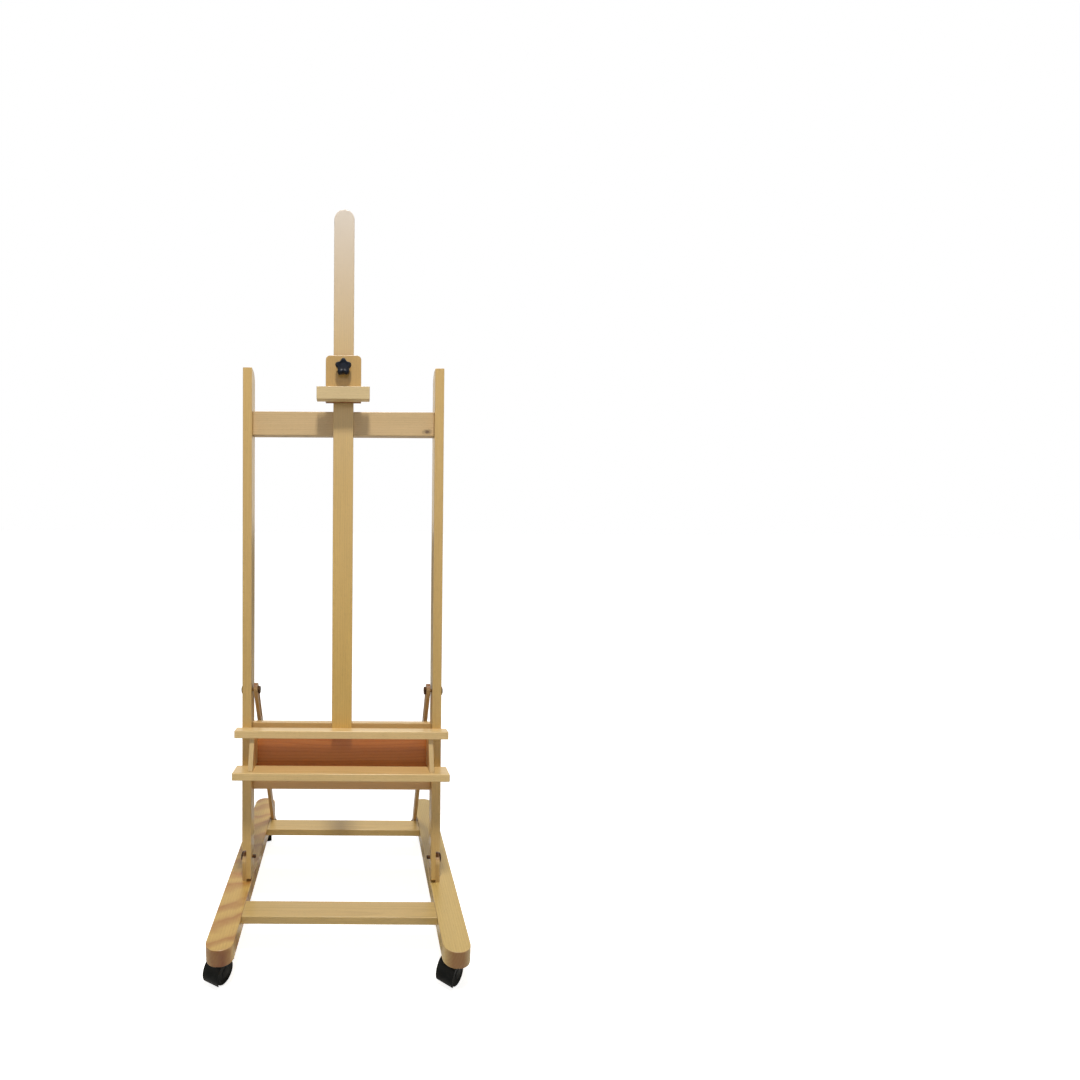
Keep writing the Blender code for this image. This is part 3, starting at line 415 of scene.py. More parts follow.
def wood(name, along, centre, light, dark, spacing=0.0042, warp=0.012, contrast=0.55, blotch=0.22,
         tilt=(1.2, 0.8), pith=PITH_OFFSET):
    """An oiled board: timber whose rings run round a heart that lies along the grain, offset and
    tilted in degrees from the board's middle, under a thin oil sheen."""
    material, tree, shader = new_material(name)
    grain = Vector(along).normalized()
    straight = grain.rotation_difference(Vector((0, 0, 1))).to_matrix()
    turn = Euler((math.radians(tilt[0]), math.radians(tilt[1]), 0)).to_matrix() @ straight
    shift = Vector((*pith, 0)) - turn @ Vector(centre)
    source = add_node(tree, "ShaderNodeTexCoord")
    place = add_node(tree, "ShaderNodeMapping", {
        "Vector": source.outputs["Object"], "Location": shift,
        "Rotation": turn.to_euler()}).outputs["Vector"]
    timber = add_node(tree, "ShaderNodeGroup", node_tree=TIMBER)
    for label, value in (("Light", (*light, 1)), ("Dark", (*dark, 1)), ("Ring spacing", spacing),
                         ("Warp", warp), ("Ring contrast", contrast),
                         ("Fibre contrast", FIBRE_CONTRAST), ("Blotch", blotch)):
        timber.inputs[label].default_value = value
    tree.links.new(place, timber.inputs["Vector"])
    wear_and_light = add_node(tree, "ShaderNodeGroup", node_tree=WEAR_AND_PAINTED_LIGHT)
    wear_and_light.inputs["Along"].default_value = grain
    for socket, label in ((timber.outputs["Color"], "Color"), (timber.outputs["Roughness"], "Roughness"),
                          (source.outputs["Normal"], "Normal"), (source.outputs["Object"], "Vector")):
        tree.links.new(socket, wear_and_light.inputs[label])
    bump = add_node(tree, "ShaderNodeBump", {
        "Height": timber.outputs["Height"], "Distance": WOOD_RELIEF, "Strength": 1.0})
    tree.links.new(wear_and_light.outputs["Color"], shader.inputs["Base Color"])
    tree.links.new(wear_and_light.outputs["Roughness"], shader.inputs["Roughness"])
    tree.links.new(bump.outputs["Normal"], shader.inputs["Normal"])
    shader.inputs["Coat Weight"].default_value = 0.80
    shader.inputs["Coat Roughness"].default_value = 0.26
    shader.inputs["Specular IOR Level"].default_value = 0.42
    return material


def dress(piece, material, node, body):
    """Finish a piece that stands for one CAD node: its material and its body."""
    piece.data.materials.clear()
    piece.data.materials.append(material)
    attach(piece, body)
    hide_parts(node)


def dress_in_wood(piece, node, axes, body, slot, finish, along, *look, **grain):
    """Finish a piece in its own wood, from a log placed by the middle of the CAD node. The look is
    two colours and, if it says, the rings' spacing, warp and contrast. Returns the wood."""
    low, high = span(node, axes)
    material = wood(finish, along, axes @ Vector((low + high) / 2), *look, **grain)
    dress(piece, material, node, body)
    return material


def board(name, node, axes, *finish, radius=SANDED, edge=SANDED, steps=4, **grain):
    """A plain board that fills a CAD node's box, dressed in its own wood, which it returns."""
    low, high = span(node, axes)
    piece = plank(name, box_outline(low, high, radius, steps), low[2], high[2], axes, edge)
    return dress_in_wood(piece, node, axes, *finish, **grain)


RUNNER_END = 0.026             # radius of a runner's end corners
RUNNER_LOOKS = {               # light, dark, ring spacing, warp, contrast, tilt of the heart
    "left": ((0.680, 0.450, 0.125), (0.540, 0.310, 0.075), 0.0060, 0.014, 0.35, (2.0, 1.2)),
    "right": ((0.690, 0.495, 0.165), (0.570, 0.360, 0.100), 0.0055, 0.010, 0.40, (1.0, 0.6)),
}
FIGURE_SLOPE = math.radians(28)  # of the left runner's dark bands, from square across it
FIGURE_ACROSS = (-math.sin(FIGURE_SLOPE), math.cos(FIGURE_SLOPE), 0.3)
FIGURE_SPACING = 0.046
FIGURE_WANDER = 1.6            # how far the bands stray, in spacings
FIGURE_DARK = (0.440, 0.190, 0.040)


def timber_colour(material):
    """The tree of a board's material, its object-space position and its colour, to be changed."""
    tree = material.node_tree
    source = next(node for node in tree.nodes if node.type == "TEX_COORD").outputs["Object"]
    wear_and_light = next(node for node in tree.nodes if node.type == "GROUP" and node.node_tree == WEAR_AND_PAINTED_LIGHT)
    return tree, source, wear_and_light.inputs["Color"].links[0].from_socket, wear_and_light.inputs["Color"]


def add_figure(material):
    """Broad soft bands of darker wood square to a direction, bent by slow noise: the band is the
    place along the direction, plus the noise, over the spacing."""
    tree, source, plain, target = timber_colour(material)
    along = vector_node(tree, "DOT_PRODUCT", source, FIGURE_ACROSS)
    moved = math_node(tree, "MULTIPLY_ADD", noise(tree, source, 13.0, 2.0),
                      FIGURE_WANDER * FIGURE_SPACING, along)
    turns = math_node(tree, "DIVIDE", moved, FIGURE_SPACING)
    band = ramp_node(tree, math_node(tree, "FRACT", turns),
                     ((0.0, 0.10), (0.20, 0.0), (0.48, 0.70), (0.74, 1.0), (0.88, 0.35), (1.0, 0.10)))
    patch = math_node(tree, "MULTIPLY_ADD", noise(tree, source, 34.0, 3.0), 1.1, 0.30)
    share = math_node(tree, "MULTIPLY", band, patch, use_clamp=True)
    tree.links.new(mixed(tree, share, plain, (*FIGURE_DARK, 1)), target)


for side, (light, dark, spacing, warp, contrast, tilt) in RUNNER_LOOKS.items():
    finish = board(f"foot_rail_{side}", f"runner_{side}", UPRIGHT, "base", "runner_wood",
                   f"figured_wood_{side}", (0, 1, 0), light, dark, spacing, warp, contrast,
                   radius=RUNNER_END, steps=14, tilt=tilt, blotch=0.28)
    if side == "left":
        add_figure(finish)

# ---- Stretchers ----
# Two boards across the base, glued between the runners and flush with their tops.

SWEEP = axes_from((0, 1, 0), (0, 0, 1), (1, 0, 0))  # outline in Y and Z, run along X
STRETCHER_LIGHT, STRETCHER_DARK = (0.660, 0.460, 0.165), (0.500, 0.325, 0.110)

for end, shade in (("front", 1.0), ("rear", 1.03)):
    board(f"cross_board_{end}", f"stretcher_{end}", SWEEP, "base", "base_wood", f"straight_wood_{end}",
          (1, 0, 0), [shade * channel for channel in STRETCHER_LIGHT], STRETCHER_DARK,
          0.0036, 0.008, 0.42, edge=FINE_SANDED)

# ---- Hinge cheeks ----
# A short upright with a round top, let into the outside of each post's foot. It stands on the
# runner and holds the bolt that the leaning frame turns on.

PIVOT = Vector(JOINTS["frame_tilt"]["pos_m"])
CHEEK_CROWN_DROP = 0.009       # how far the round top stays under the notch in the post
HAIR = 0.00001                 # keeps two round corners from quite meeting
CHEEK_LIGHT, CHEEK_DARK = (0.620, 0.420, 0.165), (0.460, 0.270, 0.085)

for side in ("left", "right"):
    low, high = span(f"hinge_cheek_{side}", SWEEP)
    half = (high[0] - low[0]) / 2
    outline = box_outline(low, (high[0], high[1] - CHEEK_CROWN_DROP),
                          (FINE_SANDED, FINE_SANDED, half - HAIR, half - HAIR), 14)
    cheek = plank(f"hinge_block_{side}", outline, low[2], high[2], SWEEP, 0.0009)
    dress_in_wood(cheek, f"hinge_cheek_{side}", SWEEP, "base", "base_wood", f"cheek_wood_{side}",
                  (0, 0, 1), CHEEK_LIGHT, CHEEK_DARK)

# ---- Posts ----
# The two uprights of the leaning frame. The back of each top is rounded off, the foot is
# rounded to clear the runner, and its outside is cut away for the cheek.

RISE = Vector(JOINTS["mast_slide"]["axis"]).normalized()
DEPTH = Vector((0, RISE.z, -RISE.y))
LEAN_SIDE = axes_from(DEPTH, RISE, (1, 0, 0), PIVOT)  # outline seen from the side, run along X
LEAN_FACE = axes_from((1, 0, 0), RISE, -DEPTH, PIVOT)  # outline seen from the front, run forwards
LEAN_PLAN = axes_from((1, 0, 0), DEPTH, RISE, PIVOT)  # outline in plan, run upwards
POST_CROWN = 0.024             # radius at the back of a post's top
POST_FOOT = (0.0043, -0.0002)  # height of the round foot's corners and middle
POST_FOOT_RADII = (0.003, 0.045, 0.003)
SHOULDER_CLEAR = 0.003         # from a cheek's top to the post's shoulder
FIT = 0.0003                   # gap between wood that slides on wood
CUTTER_EDGE = 0.0001
PAST = 0.05                    # how far a cutter reaches past the wood
POST_LIGHT, POST_DARK = (0.690, 0.465, 0.165), (0.540, 0.320, 0.090)


def cut_with(piece, *cutters, operation="DIFFERENCE"):
    """Take closed shapes out of a piece for good, or add them to it, and even out its normals by
    face area."""
    for cutter in cutters:
        boolean = piece.modifiers.new("cut", "BOOLEAN")
        boolean.operation = operation
        boolean.object = cutter
    bpy.context.view_layer.update()
    graph = bpy.context.evaluated_depsgraph_get()
    mesh = bpy.data.meshes.new_from_object(piece.evaluated_get(graph), depsgraph=graph)
    piece.modifiers.clear()
    old = piece.data
    piece.data = mesh
    bpy.data.meshes.remove(old)
    for cutter in cutters:
        bpy.data.objects.remove(cutter, do_unlink=True)
    if "custom_normal" in mesh.attributes:
        mesh.attributes.remove(mesh.attributes["custom_normal"])
    mesh.shade_smooth()
    mesh.set_sharp_from_angle(angle=CREASE)
    even = piece.modifiers.new("even_normals", "WEIGHTED_NORMAL")
    even.keep_sharp = True
    even.weight = 100
    return piece


for side, sign in (("left", -1), ("right", 1)):
    low, high = span(f"post_{side}", LEAN_SIDE)
    foot_low, foot_high = span(f"hinge_cheek_{side}", LEAN_SIDE)
    corner, middle = (low[1] + height for height in POST_FOOT)
    outline = rounded(((low[0], corner), ((low[0] + high[0]) / 2, middle), (high[0], corner),
                       (high[0], high[1]), (low[0], high[1])), (*POST_FOOT_RADII, POST_CROWN, SANDED), 10)
    post = plank(f"upright_{side}", outline, low[2], high[2], LEAN_SIDE)
    shoulder = foot_high[1] + SHOULDER_CLEAR
    inside = foot_low[2] - FIT if sign > 0 else foot_high[2] + FIT
    outside = high[2] + PAST if sign > 0 else low[2] - PAST
    rebate = plank("rebate", box_outline((low[0] - PAST, low[1] - PAST), (high[0] + PAST, shoulder), 0.001),
                   *sorted((inside, outside)), LEAN_SIDE, CUTTER_EDGE)
    cut_with(post, rebate)
    dress_in_wood(post, f"post_{side}", LEAN_SIDE, "frame", "post_wood", f"post_wood_{side}", RISE,
                  POST_LIGHT, POST_DARK, 0.0034, 0.009, 0.45, tilt=(0.5 * sign, 0.6))

# ---- Crossbar ----
# The bar between the posts, housed at its middle for the mast. A small dark knot sits low down
# near its right end.

BAR_LIGHT, BAR_DARK = (0.680, 0.485, 0.245), (0.540, 0.350, 0.145)
KNOT_ACROSS, KNOT_UP = 0.193, 0.010  # from the bar's middle and above its lower edge
KNOT_RADIUS = 0.007
KNOT_DARK = (0.105, 0.050, 0.018)


def add_knot(material, place, radius):
    """Darken the timber towards a point, in a ragged spot a little longer than it is tall."""
    tree, source, plain, target = timber_colour(material)
    away = vector_node(tree, "SUBTRACT", source, place)
    flat = vector_node(tree, "MULTIPLY", away, (0.55 / radius, 0.4 / radius, 1 / radius))
    reach = math_node(tree, "MULTIPLY", vector_node(tree, "LENGTH", flat), 0.6)
    depth = ramp_node(tree, math_node(tree, "MULTIPLY_ADD", noise(tree, source, 260.0, 3.0), 0.7, reach),
                      ((0.45, 1.0), (0.72, 0.45), (1.0, 0.0)))
    tree.links.new(mixed(tree, depth, plain, (*KNOT_DARK, 1)), target)


low, high = span("crossbar", LEAN_SIDE)
mast_low, mast_high = span("mast", LEAN_FACE)
crossbar = plank("cross_rail", box_outline(low, high, SANDED), low[2], high[2], LEAN_SIDE, FINE_SANDED)
housing = plank("housing", box_outline((mast_low[0] - FIT, low[1] - PAST),
                                       (mast_high[0] + FIT, high[1] + PAST), FIT),
                mast_low[2] - FIT, PAST, LEAN_FACE, CUTTER_EDGE)
cut_with(crossbar, housing)
finish = dress_in_wood(crossbar, "crossbar", LEAN_SIDE, "frame", "post_wood", "crossbar_wood",
                       (1, 0, 0), BAR_LIGHT, BAR_DARK, 0.0040, 0.012, 0.40)
add_knot(finish, LEAN_SIDE @ Vector((low[0], low[1] + KNOT_UP, KNOT_ACROSS)), KNOT_RADIUS)

# ---- Tray ----
# Two ledges on the front of the posts, the upper one for the canvas and the deeper one for
# brushes, a panel behind them, and a side with a sloping front inside each post. The panel is
# painted deep red-brown between the ledges as painted shade, and tan above and below them.

SIDE_SETBACK = 0.010           # of the sides' fronts behind the ledges'
LEDGE_LOOKS = {
    "upper": ((0.860, 0.620, 0.290), (0.730, 0.490, 0.190)),
    "lower": ((0.820, 0.590, 0.260), (0.690, 0.460, 0.170)),
}
# Painted shade: the panel's deep red-brown grain colours stand for the shade and warm bounce under the upper
# ledge; above and below the ledges it turns tan, by these stops of height.
PANEL_SHADED_LIGHT, PANEL_SHADED_DARK = (0.560, 0.190, 0.038), (0.440, 0.125, 0.020)
PANEL_TAN = (0.660, 0.440, 0.175)
PANEL_TAN_SHARE = ((0.0, 0.75), (0.22, 0.70), (0.32, 0.0), (0.84, 0.0), (0.90, 1.0))  # share by height
SIDE_LIGHT, SIDE_DARK = (0.700, 0.505, 0.235), (0.540, 0.335, 0.125)


def paint_light_by_height(material, low, high, stops, painted_colour):
    """Painted light and shade: mix the timber towards another colour by its height up the frame, from one
    height to another.
    """
    tree, source, plain, target = timber_colour(material)
    rise = vector_node(tree, "DOT_PRODUCT", source, RISE)
    share = math_node(tree, "DIVIDE", math_node(tree, "SUBTRACT", rise, RISE.dot(PIVOT) + low), high - low)
    tree.links.new(mixed(tree, ramp_node(tree, share, stops), plain, (*painted_colour, 1)), target)


for name, (light, dark) in LEDGE_LOOKS.items():
    board(f"tray_ledge_{name}", f"ledge_{name}", LEAN_SIDE, "frame", "tray_wood", f"ledge_wood_{name}",
          (1, 0, 0), light, dark, 0.0038, 0.010, 0.42)

low, high = span("tray_panel", LEAN_SIDE)
finish = board("tray_back_panel", "tray_panel", LEAN_SIDE, "frame", "panel_wood", "panel_wood",
               (1, 0, 0), PANEL_SHADED_LIGHT, PANEL_SHADED_DARK, 0.0075, 0.020, 0.60, edge=FINE_SANDED,
               tilt=(3.0, 1.5))
# Painted shade: the panel keeps its deep red-brown between the ledges and turns tan above and below them.
paint_light_by_height(finish, low[1], high[1], PANEL_TAN_SHARE, PANEL_TAN)

top_front = span("ledge_upper", LEAN_SIDE)[0][0] + SIDE_SETBACK
for side in ("left", "right"):
    low, high = span(f"tray_side_{side}", LEAN_SIDE)
    outline = rounded(((low[0], low[1]), (high[0], low[1]), (high[0], high[1]), (top_front, high[1])),
                      FINE_SANDED, 3)
    cheek = plank(f"tray_cheek_{side}", outline, low[2], high[2], LEAN_SIDE, 0.0012)
    dress_in_wood(cheek, f"tray_side_{side}", LEAN_SIDE, "frame", "tray_wood",
                  f"tray_side_wood_{side}", RISE, SIDE_LIGHT, SIDE_DARK)

# ---- Mast ----
# The long board that slides in the crossbar's housing. Its top is a half round, and a T-shaped
# groove for the clamp bolt's head runs up its back.

GROOVE = 0.0094                # width of the groove's neck
GROOVE_HEAD = 0.0170           # width of its head
GROOVE_NECK_DEPTH, GROOVE_DEPTH = 0.0060, 0.0110
GROOVE_LENGTH = 0.735
GROOVE_HEAD_RUN = 0.004        # how much further the head runs than the neck
GROOVE_LAP = 0.0005            # by which the two cutters overlap
MAST_LIGHT, MAST_DARK = (0.720, 0.470, 0.130), (0.600, 0.360, 0.090)
# Painted light: towards its top the mast turns paler and greyer, a painted pool of the lamp's light from
# above, by these stops of height.
MAST_PAINTED_LIGHT_COLOUR = (0.660, 0.580, 0.495)
MAST_PAINTED_LIGHT_STOPS = ((0.0, 0.0), (0.48, 0.10), (0.75, 0.34), (1.0, 1.0))  # share by height

half = (mast_high[0] - mast_low[0]) / 2
crown = half - HAIR
mast = plank("sliding_mast", box_outline(mast_low, mast_high, (SANDED, SANDED, crown, crown), 24),
             mast_low[2], mast_high[2], LEAN_FACE)
foot, back = mast_low[1], mast_low[2]
neck = plank("groove_neck", box_outline((-GROOVE / 2, foot - 0.01), (GROOVE / 2, foot + GROOVE_LENGTH),
                                        2 * CUTTER_EDGE, 1),
             back - 0.01, back + GROOVE_NECK_DEPTH + GROOVE_LAP, LEAN_FACE, CUTTER_EDGE)
head = plank("groove_head", box_outline((-GROOVE_HEAD / 2, foot - 0.02),
                                        (GROOVE_HEAD / 2, foot + GROOVE_LENGTH + GROOVE_HEAD_RUN),
                                        2 * CUTTER_EDGE, 1),
             back + GROOVE_NECK_DEPTH, back + GROOVE_DEPTH, LEAN_FACE, CUTTER_EDGE)
cut_with(mast, neck, head)
finish = dress_in_wood(mast, "mast", LEAN_FACE, "mast", "mast_wood", "mast_wood", RISE,
                       MAST_LIGHT, MAST_DARK, 0.0046, 0.013, 0.42, blotch=0.30, tilt=(0.4, 0.5),
                       pith=(0.030, 0.022))
# Painted light: the upper mast is mixed towards a pale grey by its height.
paint_light_by_height(finish, mast_low[1], mast_high[1], MAST_PAINTED_LIGHT_STOPS, MAST_PAINTED_LIGHT_COLOUR)

# ---- Holder ----
# The sleeve that slides on the mast: a front plate with rounded upper corners, a narrow ledge
# that presses on the canvas, two sides and a back.

HOLDER_LIGHT, HOLDER_DARK = (0.590, 0.370, 0.115), (0.480, 0.270, 0.075)
LEDGE_LIGHT, LEDGE_DARK = (0.740, 0.570, 0.300), (0.620, 0.450, 0.210)  # a paler offcut
HOLDER_GRAIN = (0.0036, 0.010, 0.40)  # spacing, warp, contrast
PLATE_RADII = (0.0008, 0.0008, 0.010, 0.010)
BLOCK_SANDED = 0.0010

low, high = span("holder_plate", LEAN_FACE)
plate = plank("holder_front", box_outline(low, high, PLATE_RADII, 10), low[2], high[2], LEAN_FACE, 0.0014)
dress_in_wood(plate, "holder_plate", LEAN_FACE, "holder", "holder_wood", "holder_plate_wood", RISE,
              HOLDER_LIGHT, HOLDER_DARK, *HOLDER_GRAIN)
for name, along in (("ledge", (1, 0, 0)), ("side_left", RISE), ("side_right", RISE), ("back", RISE)):
    colours = (LEDGE_LIGHT, LEDGE_DARK) if name == "ledge" else (HOLDER_LIGHT, HOLDER_DARK)
    board(f"holder_block_{name}", f"holder_{name}", LEAN_SIDE, "holder", "holder_wood",
          f"holder_wood_{name}", along, *colours, *HOLDER_GRAIN, radius=BLOCK_SANDED, edge=BLOCK_SANDED)

# ---- Struts ----
# Two thin boards behind the posts that turn on bolts in the runners. The slot near the top of
# each lets the frame tilt and the upper bolt slide.

SLOT_HALF = 0.0053
SLOT_DROP, SLOT_RISE = 0.0845, 0.0010  # ends of the slot below and above the resting bolt
STRUT_CROWN = 0.010
STRUT_LIGHT, STRUT_DARK = (0.540, 0.330, 0.130), (0.390, 0.210, 0.070)

for side in ("left", "right"):
    foot = Vector(JOINTS[f"strut_{side}_pivot"]["pos_m"])
    bolt = Vector(JOINTS[f"thumb_nut_{side}_turn"]["pos_m"])
    reach = math.hypot(bolt.y - foot.y, bolt.z - foot.z)
    along = Vector((0, (bolt.y - foot.y) / reach, (bolt.z - foot.z) / reach))
    axes = axes_from((0, along.z, -along.y), along, (1, 0, 0), (0, foot.y, foot.z))
    low, high = span(f"strut_{side}", axes)
    heel = high[0] - HAIR
    outline = box_outline(low, high, (heel, heel, STRUT_CROWN, STRUT_CROWN), 10)
    strut = plank(f"brace_{side}", outline, low[2], high[2], axes, 0.0012)
    slot = plank("slot", box_outline((-SLOT_HALF, reach - SLOT_DROP - SLOT_HALF),
                                     (SLOT_HALF, reach + SLOT_RISE + SLOT_HALF), SLOT_HALF - HAIR, 8),
                 low[2] - 0.01, high[2] + 0.01, axes, CUTTER_EDGE)
    cut_with(strut, slot)
    dress_in_wood(strut, f"strut_{side}", axes, f"strut_{side}", "strut_wood", f"strut_wood_{side}",
                  along, STRUT_LIGHT, STRUT_DARK, 0.0032, 0.008, 0.45)

# ---- Bolts, nuts and washer ----
# Plated steel gone brown: domed bolt heads on the outside of the posts, hexagon nuts inside, a
# scalloped thumb nut on each strut, a washer under the mast's knob.

SHANK = 0.004                  # radius of the large bolts
BORE = 0.0003                  # gap round a shank
BOLT_HEADS = {                 # body, direction of the head, its thickness, radius of the shank
    "hinge_bolt_left": ("base", (-1, 0, 0), 0.0055, SHANK),
    "hinge_bolt_right": ("base", (1, 0, 0), 0.0055, SHANK),
    "strut_bolt_left": ("frame", (-1, 0, 0), 0.0055, SHANK),
    "strut_bolt_right": ("frame", (1, 0, 0), 0.0055, SHANK),
    "strut_foot_bolt_left": ("base", (1, 0, 0), 0.004, 0.003),
    "strut_foot_bolt_right": ("base", (-1, 0, 0), 0.004, 0.003),
    "mast_clamp_bolt": ("frame", -DEPTH, 0.0036, SHANK),
}
THUMB_LOBES, THUMB_SHARE = 10, 0.13  # lobes of a thumb nut and depth between them


def patchy_group(name, clean, patched, cloud, grit, stops, gloss):
    """A surface in two colours: cloudy patches of the one over the other, and a fine grit that
    stands out a little. The roughness is gloss's first share of the patches, plus its second of
    the grit, plus its third."""
    tree, given, put = new_group(name, (
        ("Vector", "Vector", None), ("Light", "Color", None), ("Dark", "Color", None)), LOOK)
    place = given.outputs["Vector"]
    fine = noise(tree, place, grit, 2.0)
    patch = ramp_node(tree, noise(tree, place, *cloud), stops)
    rough = math_node(tree, "MULTIPLY_ADD", patch, gloss[0],
                      math_node(tree, "MULTIPLY_ADD", fine, gloss[1], gloss[2]))
    colour = mixed(tree, patch, given.outputs[clean], given.outputs[patched])
    return put_out(tree, put, colour, rough, fine)


PLATED = patchy_group("plated", "Light", "Dark", (190.0, 4.0), 2600.0,  # cloudy brown tarnish
                      ((0.32, 0.0), (0.68, 1.0)), (0.20, 0.12, 0.24))


def surface(name, group, light, dark, relief, metallic=0.0, gleam=0.5):
    """A material whose colour, roughness and bump come from a patchy group in object space."""
    material, tree, shader = new_material(name)
    shader.inputs["Metallic"].default_value = metallic
    shader.inputs["Specular IOR Level"].default_value = gleam
    place = add_node(tree, "ShaderNodeTexCoord").outputs["Object"]
    look = add_node(tree, "ShaderNodeGroup", node_tree=group)
    for label, value in (("Light", (*light, 1)), ("Dark", (*dark, 1))):
        look.inputs[label].default_value = value
    tree.links.new(place, look.inputs["Vector"])
    bump = add_node(tree, "ShaderNodeBump", {"Height": look.outputs["Height"], "Distance": relief})
    tree.links.new(look.outputs["Color"], shader.inputs["Base Color"])
    tree.links.new(look.outputs["Roughness"], shader.inputs["Roughness"])
    tree.links.new(bump.outputs["Normal"], shader.inputs["Normal"])
    return material


def turned(name, profile, axes, sides=40, lobes=0):
    """A surface of revolution about the third axis. Each row of the profile is a radius, a height
    and, if it has lobes, a share: the radius shrinks by share * (1 - cos(lobes * angle)) / 2. A
    row of no radius closes an end."""
    angle = np.linspace(0, math.tau, sides, endpoint=False)
    points, rings = [], []
    for row in profile:
        radius, height, share = (*row, 0.0)[:3]
        start = len(points)
        if radius == 0:
            points.append((0.0, 0.0, height))
            rings.append(np.full(sides, start))
        else:
            reach = radius * (1 - share * (1 - np.cos(lobes * angle)) / 2)
            points += list(zip(reach * np.cos(angle), reach * np.sin(angle), np.full(sides, height)))
            rings.append(start + np.arange(sides))
    faces = []
    for under, over in zip(rings, rings[1:]):
        for here in range(sides):
            after = (here + 1) % sides
            corners = (under[here], under[after], over[after], over[here])
            faces.append(tuple(int(corner) for corner in dict.fromkeys(corners)))
    matrix = np.array(axes)
    return new_mesh(name, np.array(points) @ matrix[:3, :3].T + matrix[:3, 3], faces)


def facing(direction, origin=(0, 0, 0), up=(0, 0, 1)):
    """Axes whose third points in a direction and whose first is as near up as it can be."""
    third = Vector(direction).normalized()
    first = (Vector(up) - third * third.dot(Vector(up))).normalized()
    return axes_from(first, third.cross(first), third, origin)


def middle_axes(node, direction, up=(0, 0, 1)):
    """Axes in a direction through the middle of a CAD node, with its extent along and across."""
    axes = facing(direction, up=up)
    low, high = span(node, axes)
    centre = axes @ Vector(((low[0] + high[0]) / 2, (low[1] + high[1]) / 2, 0))
    return facing(direction, centre, up), low[2], high[2], (high[0] - low[0]) / 2


steel = surface("browned_steel", PLATED, (0.105, 0.048, 0.018), (0.040, 0.018, 0.007), 0.00003,
                metallic=0.4, gleam=0.15)

for node, (body, direction, thick, shank) in BOLT_HEADS.items():
    axes, tip, top, radius = middle_axes(node, direction)
    seat = top - thick
    dome = [(radius * math.cos(angle), seat + 0.3 * thick + 0.7 * thick * math.sin(angle))
            for angle in np.linspace(0, math.pi / 2, 9)[:-1]]
    profile = [(0, tip), (shank - 0.0007, tip), (shank, tip + 0.0007), (shank, seat), (radius - 0.0002, seat),
               (radius, seat + 0.0002)] + dome + [(0, top)]
    dress(turned(f"dome_{node}", profile, axes), steel, node, body)

for side, sign in (("left", -1), ("right", 1)):
    axes, low, high, radius = middle_axes(f"hinge_nut_{side}", (-sign, 0, 0))
    corners = [(radius * math.cos(angle), radius * math.sin(angle))
               for angle in np.arange(6) * math.tau / 6]
    nut = plank(f"hex_nut_{side}", rounded(corners, 0.0004, 3), low, high, axes, 0.0007)
    bore = turned("bore", ((0, low - 0.01), (SHANK + BORE, low - 0.01),
                           (SHANK + BORE, high + 0.01), (0, high + 0.01)), axes, 28)
    dress(cut_with(nut, bore), steel, f"hinge_nut_{side}", "base")

    axes, low, high, radius = middle_axes(f"thumb_nut_{side}", (-sign, 0, 0))
    share, hole = THUMB_SHARE, SHANK + BORE
    profile = ((hole, high - 0.0004), (hole, low), (radius - 0.0006, low, share),
               (radius, low + 0.0006, share), (radius, high - 0.0010, share),
               (radius - 0.0008, high, share), (hole + 0.0014, high), (hole, high - 0.0004))
    nut = turned(f"scalloped_nut_{side}", profile, axes, 80, THUMB_LOBES)
    dress(nut, steel, f"thumb_nut_{side}", f"thumb_nut_{side}")

axes, low, high, radius = middle_axes("mast_clamp_washer", DEPTH)
hole = SHANK + BORE
washer = turned("clamp_washer", ((hole, high), (hole, low), (radius - 0.0003, low), (radius, low + 0.0003),
                                 (radius, high - 0.0003), (radius - 0.0003, high), (hole, high)), axes)
dress(washer, steel, "mast_clamp_washer", "frame")

# ---- Star knobs ----
# Five-lobed knobs of blue-black plastic with a dished top, one on the front of the holder with
# a stud, the other behind the crossbar on the clamp bolt.

KNOB_RADIUS = 0.0185
KNOB_NECK, KNOB_NECK_LENGTH = 0.0085, 0.005
KNOB_TALL = 0.020              # from its seat to its top
KNOB_SHARE = 0.27              # depth between the lobes
MOULDED = patchy_group("moulded", "Dark", "Light", (60.0, 5.0), 1900.0,  # grain and a little dust
                       ((0.45, 0.0), (0.85, 1.0)), (0.16, 0.14, 0.28))

knob_finish = surface("blue_black_plastic", MOULDED, (0.012, 0.020, 0.038), (0.004, 0.008, 0.018),
                      0.00002, gleam=0.18)
knob_top = [(KNOB_NECK, KNOB_NECK_LENGTH - 0.0006),
            (KNOB_RADIUS * 0.80, KNOB_NECK_LENGTH, 0.55 * KNOB_SHARE),
            (KNOB_RADIUS * 0.95, KNOB_NECK_LENGTH + 0.0012, 0.9 * KNOB_SHARE),
            (KNOB_RADIUS, KNOB_NECK_LENGTH + 0.0040, KNOB_SHARE),
            (KNOB_RADIUS, KNOB_TALL - 0.0045, KNOB_SHARE)]
knob_top += [(KNOB_RADIUS * (0.76 + 0.24 * math.cos(angle)),
              KNOB_TALL - 0.0045 + 0.0045 * math.sin(angle),
              KNOB_SHARE * (0.85 + 0.15 * math.cos(angle))) for angle in np.linspace(0, math.pi / 2, 7)[1:]]
knob_top += [(KNOB_RADIUS * 0.62, KNOB_TALL - 0.0002, 0.5 * KNOB_SHARE),
             (KNOB_RADIUS * 0.50, KNOB_TALL - 0.0014), (KNOB_RADIUS * 0.30, KNOB_TALL - 0.0020),
             (0, KNOB_TALL - 0.0022)]
seat = LEAN_PLAN.inverted() @ Vector(JOINTS["holder_knob_turn"]["pos_m"])
stud = span("holder_knob", LEAN_PLAN)[1][1] - seat.y
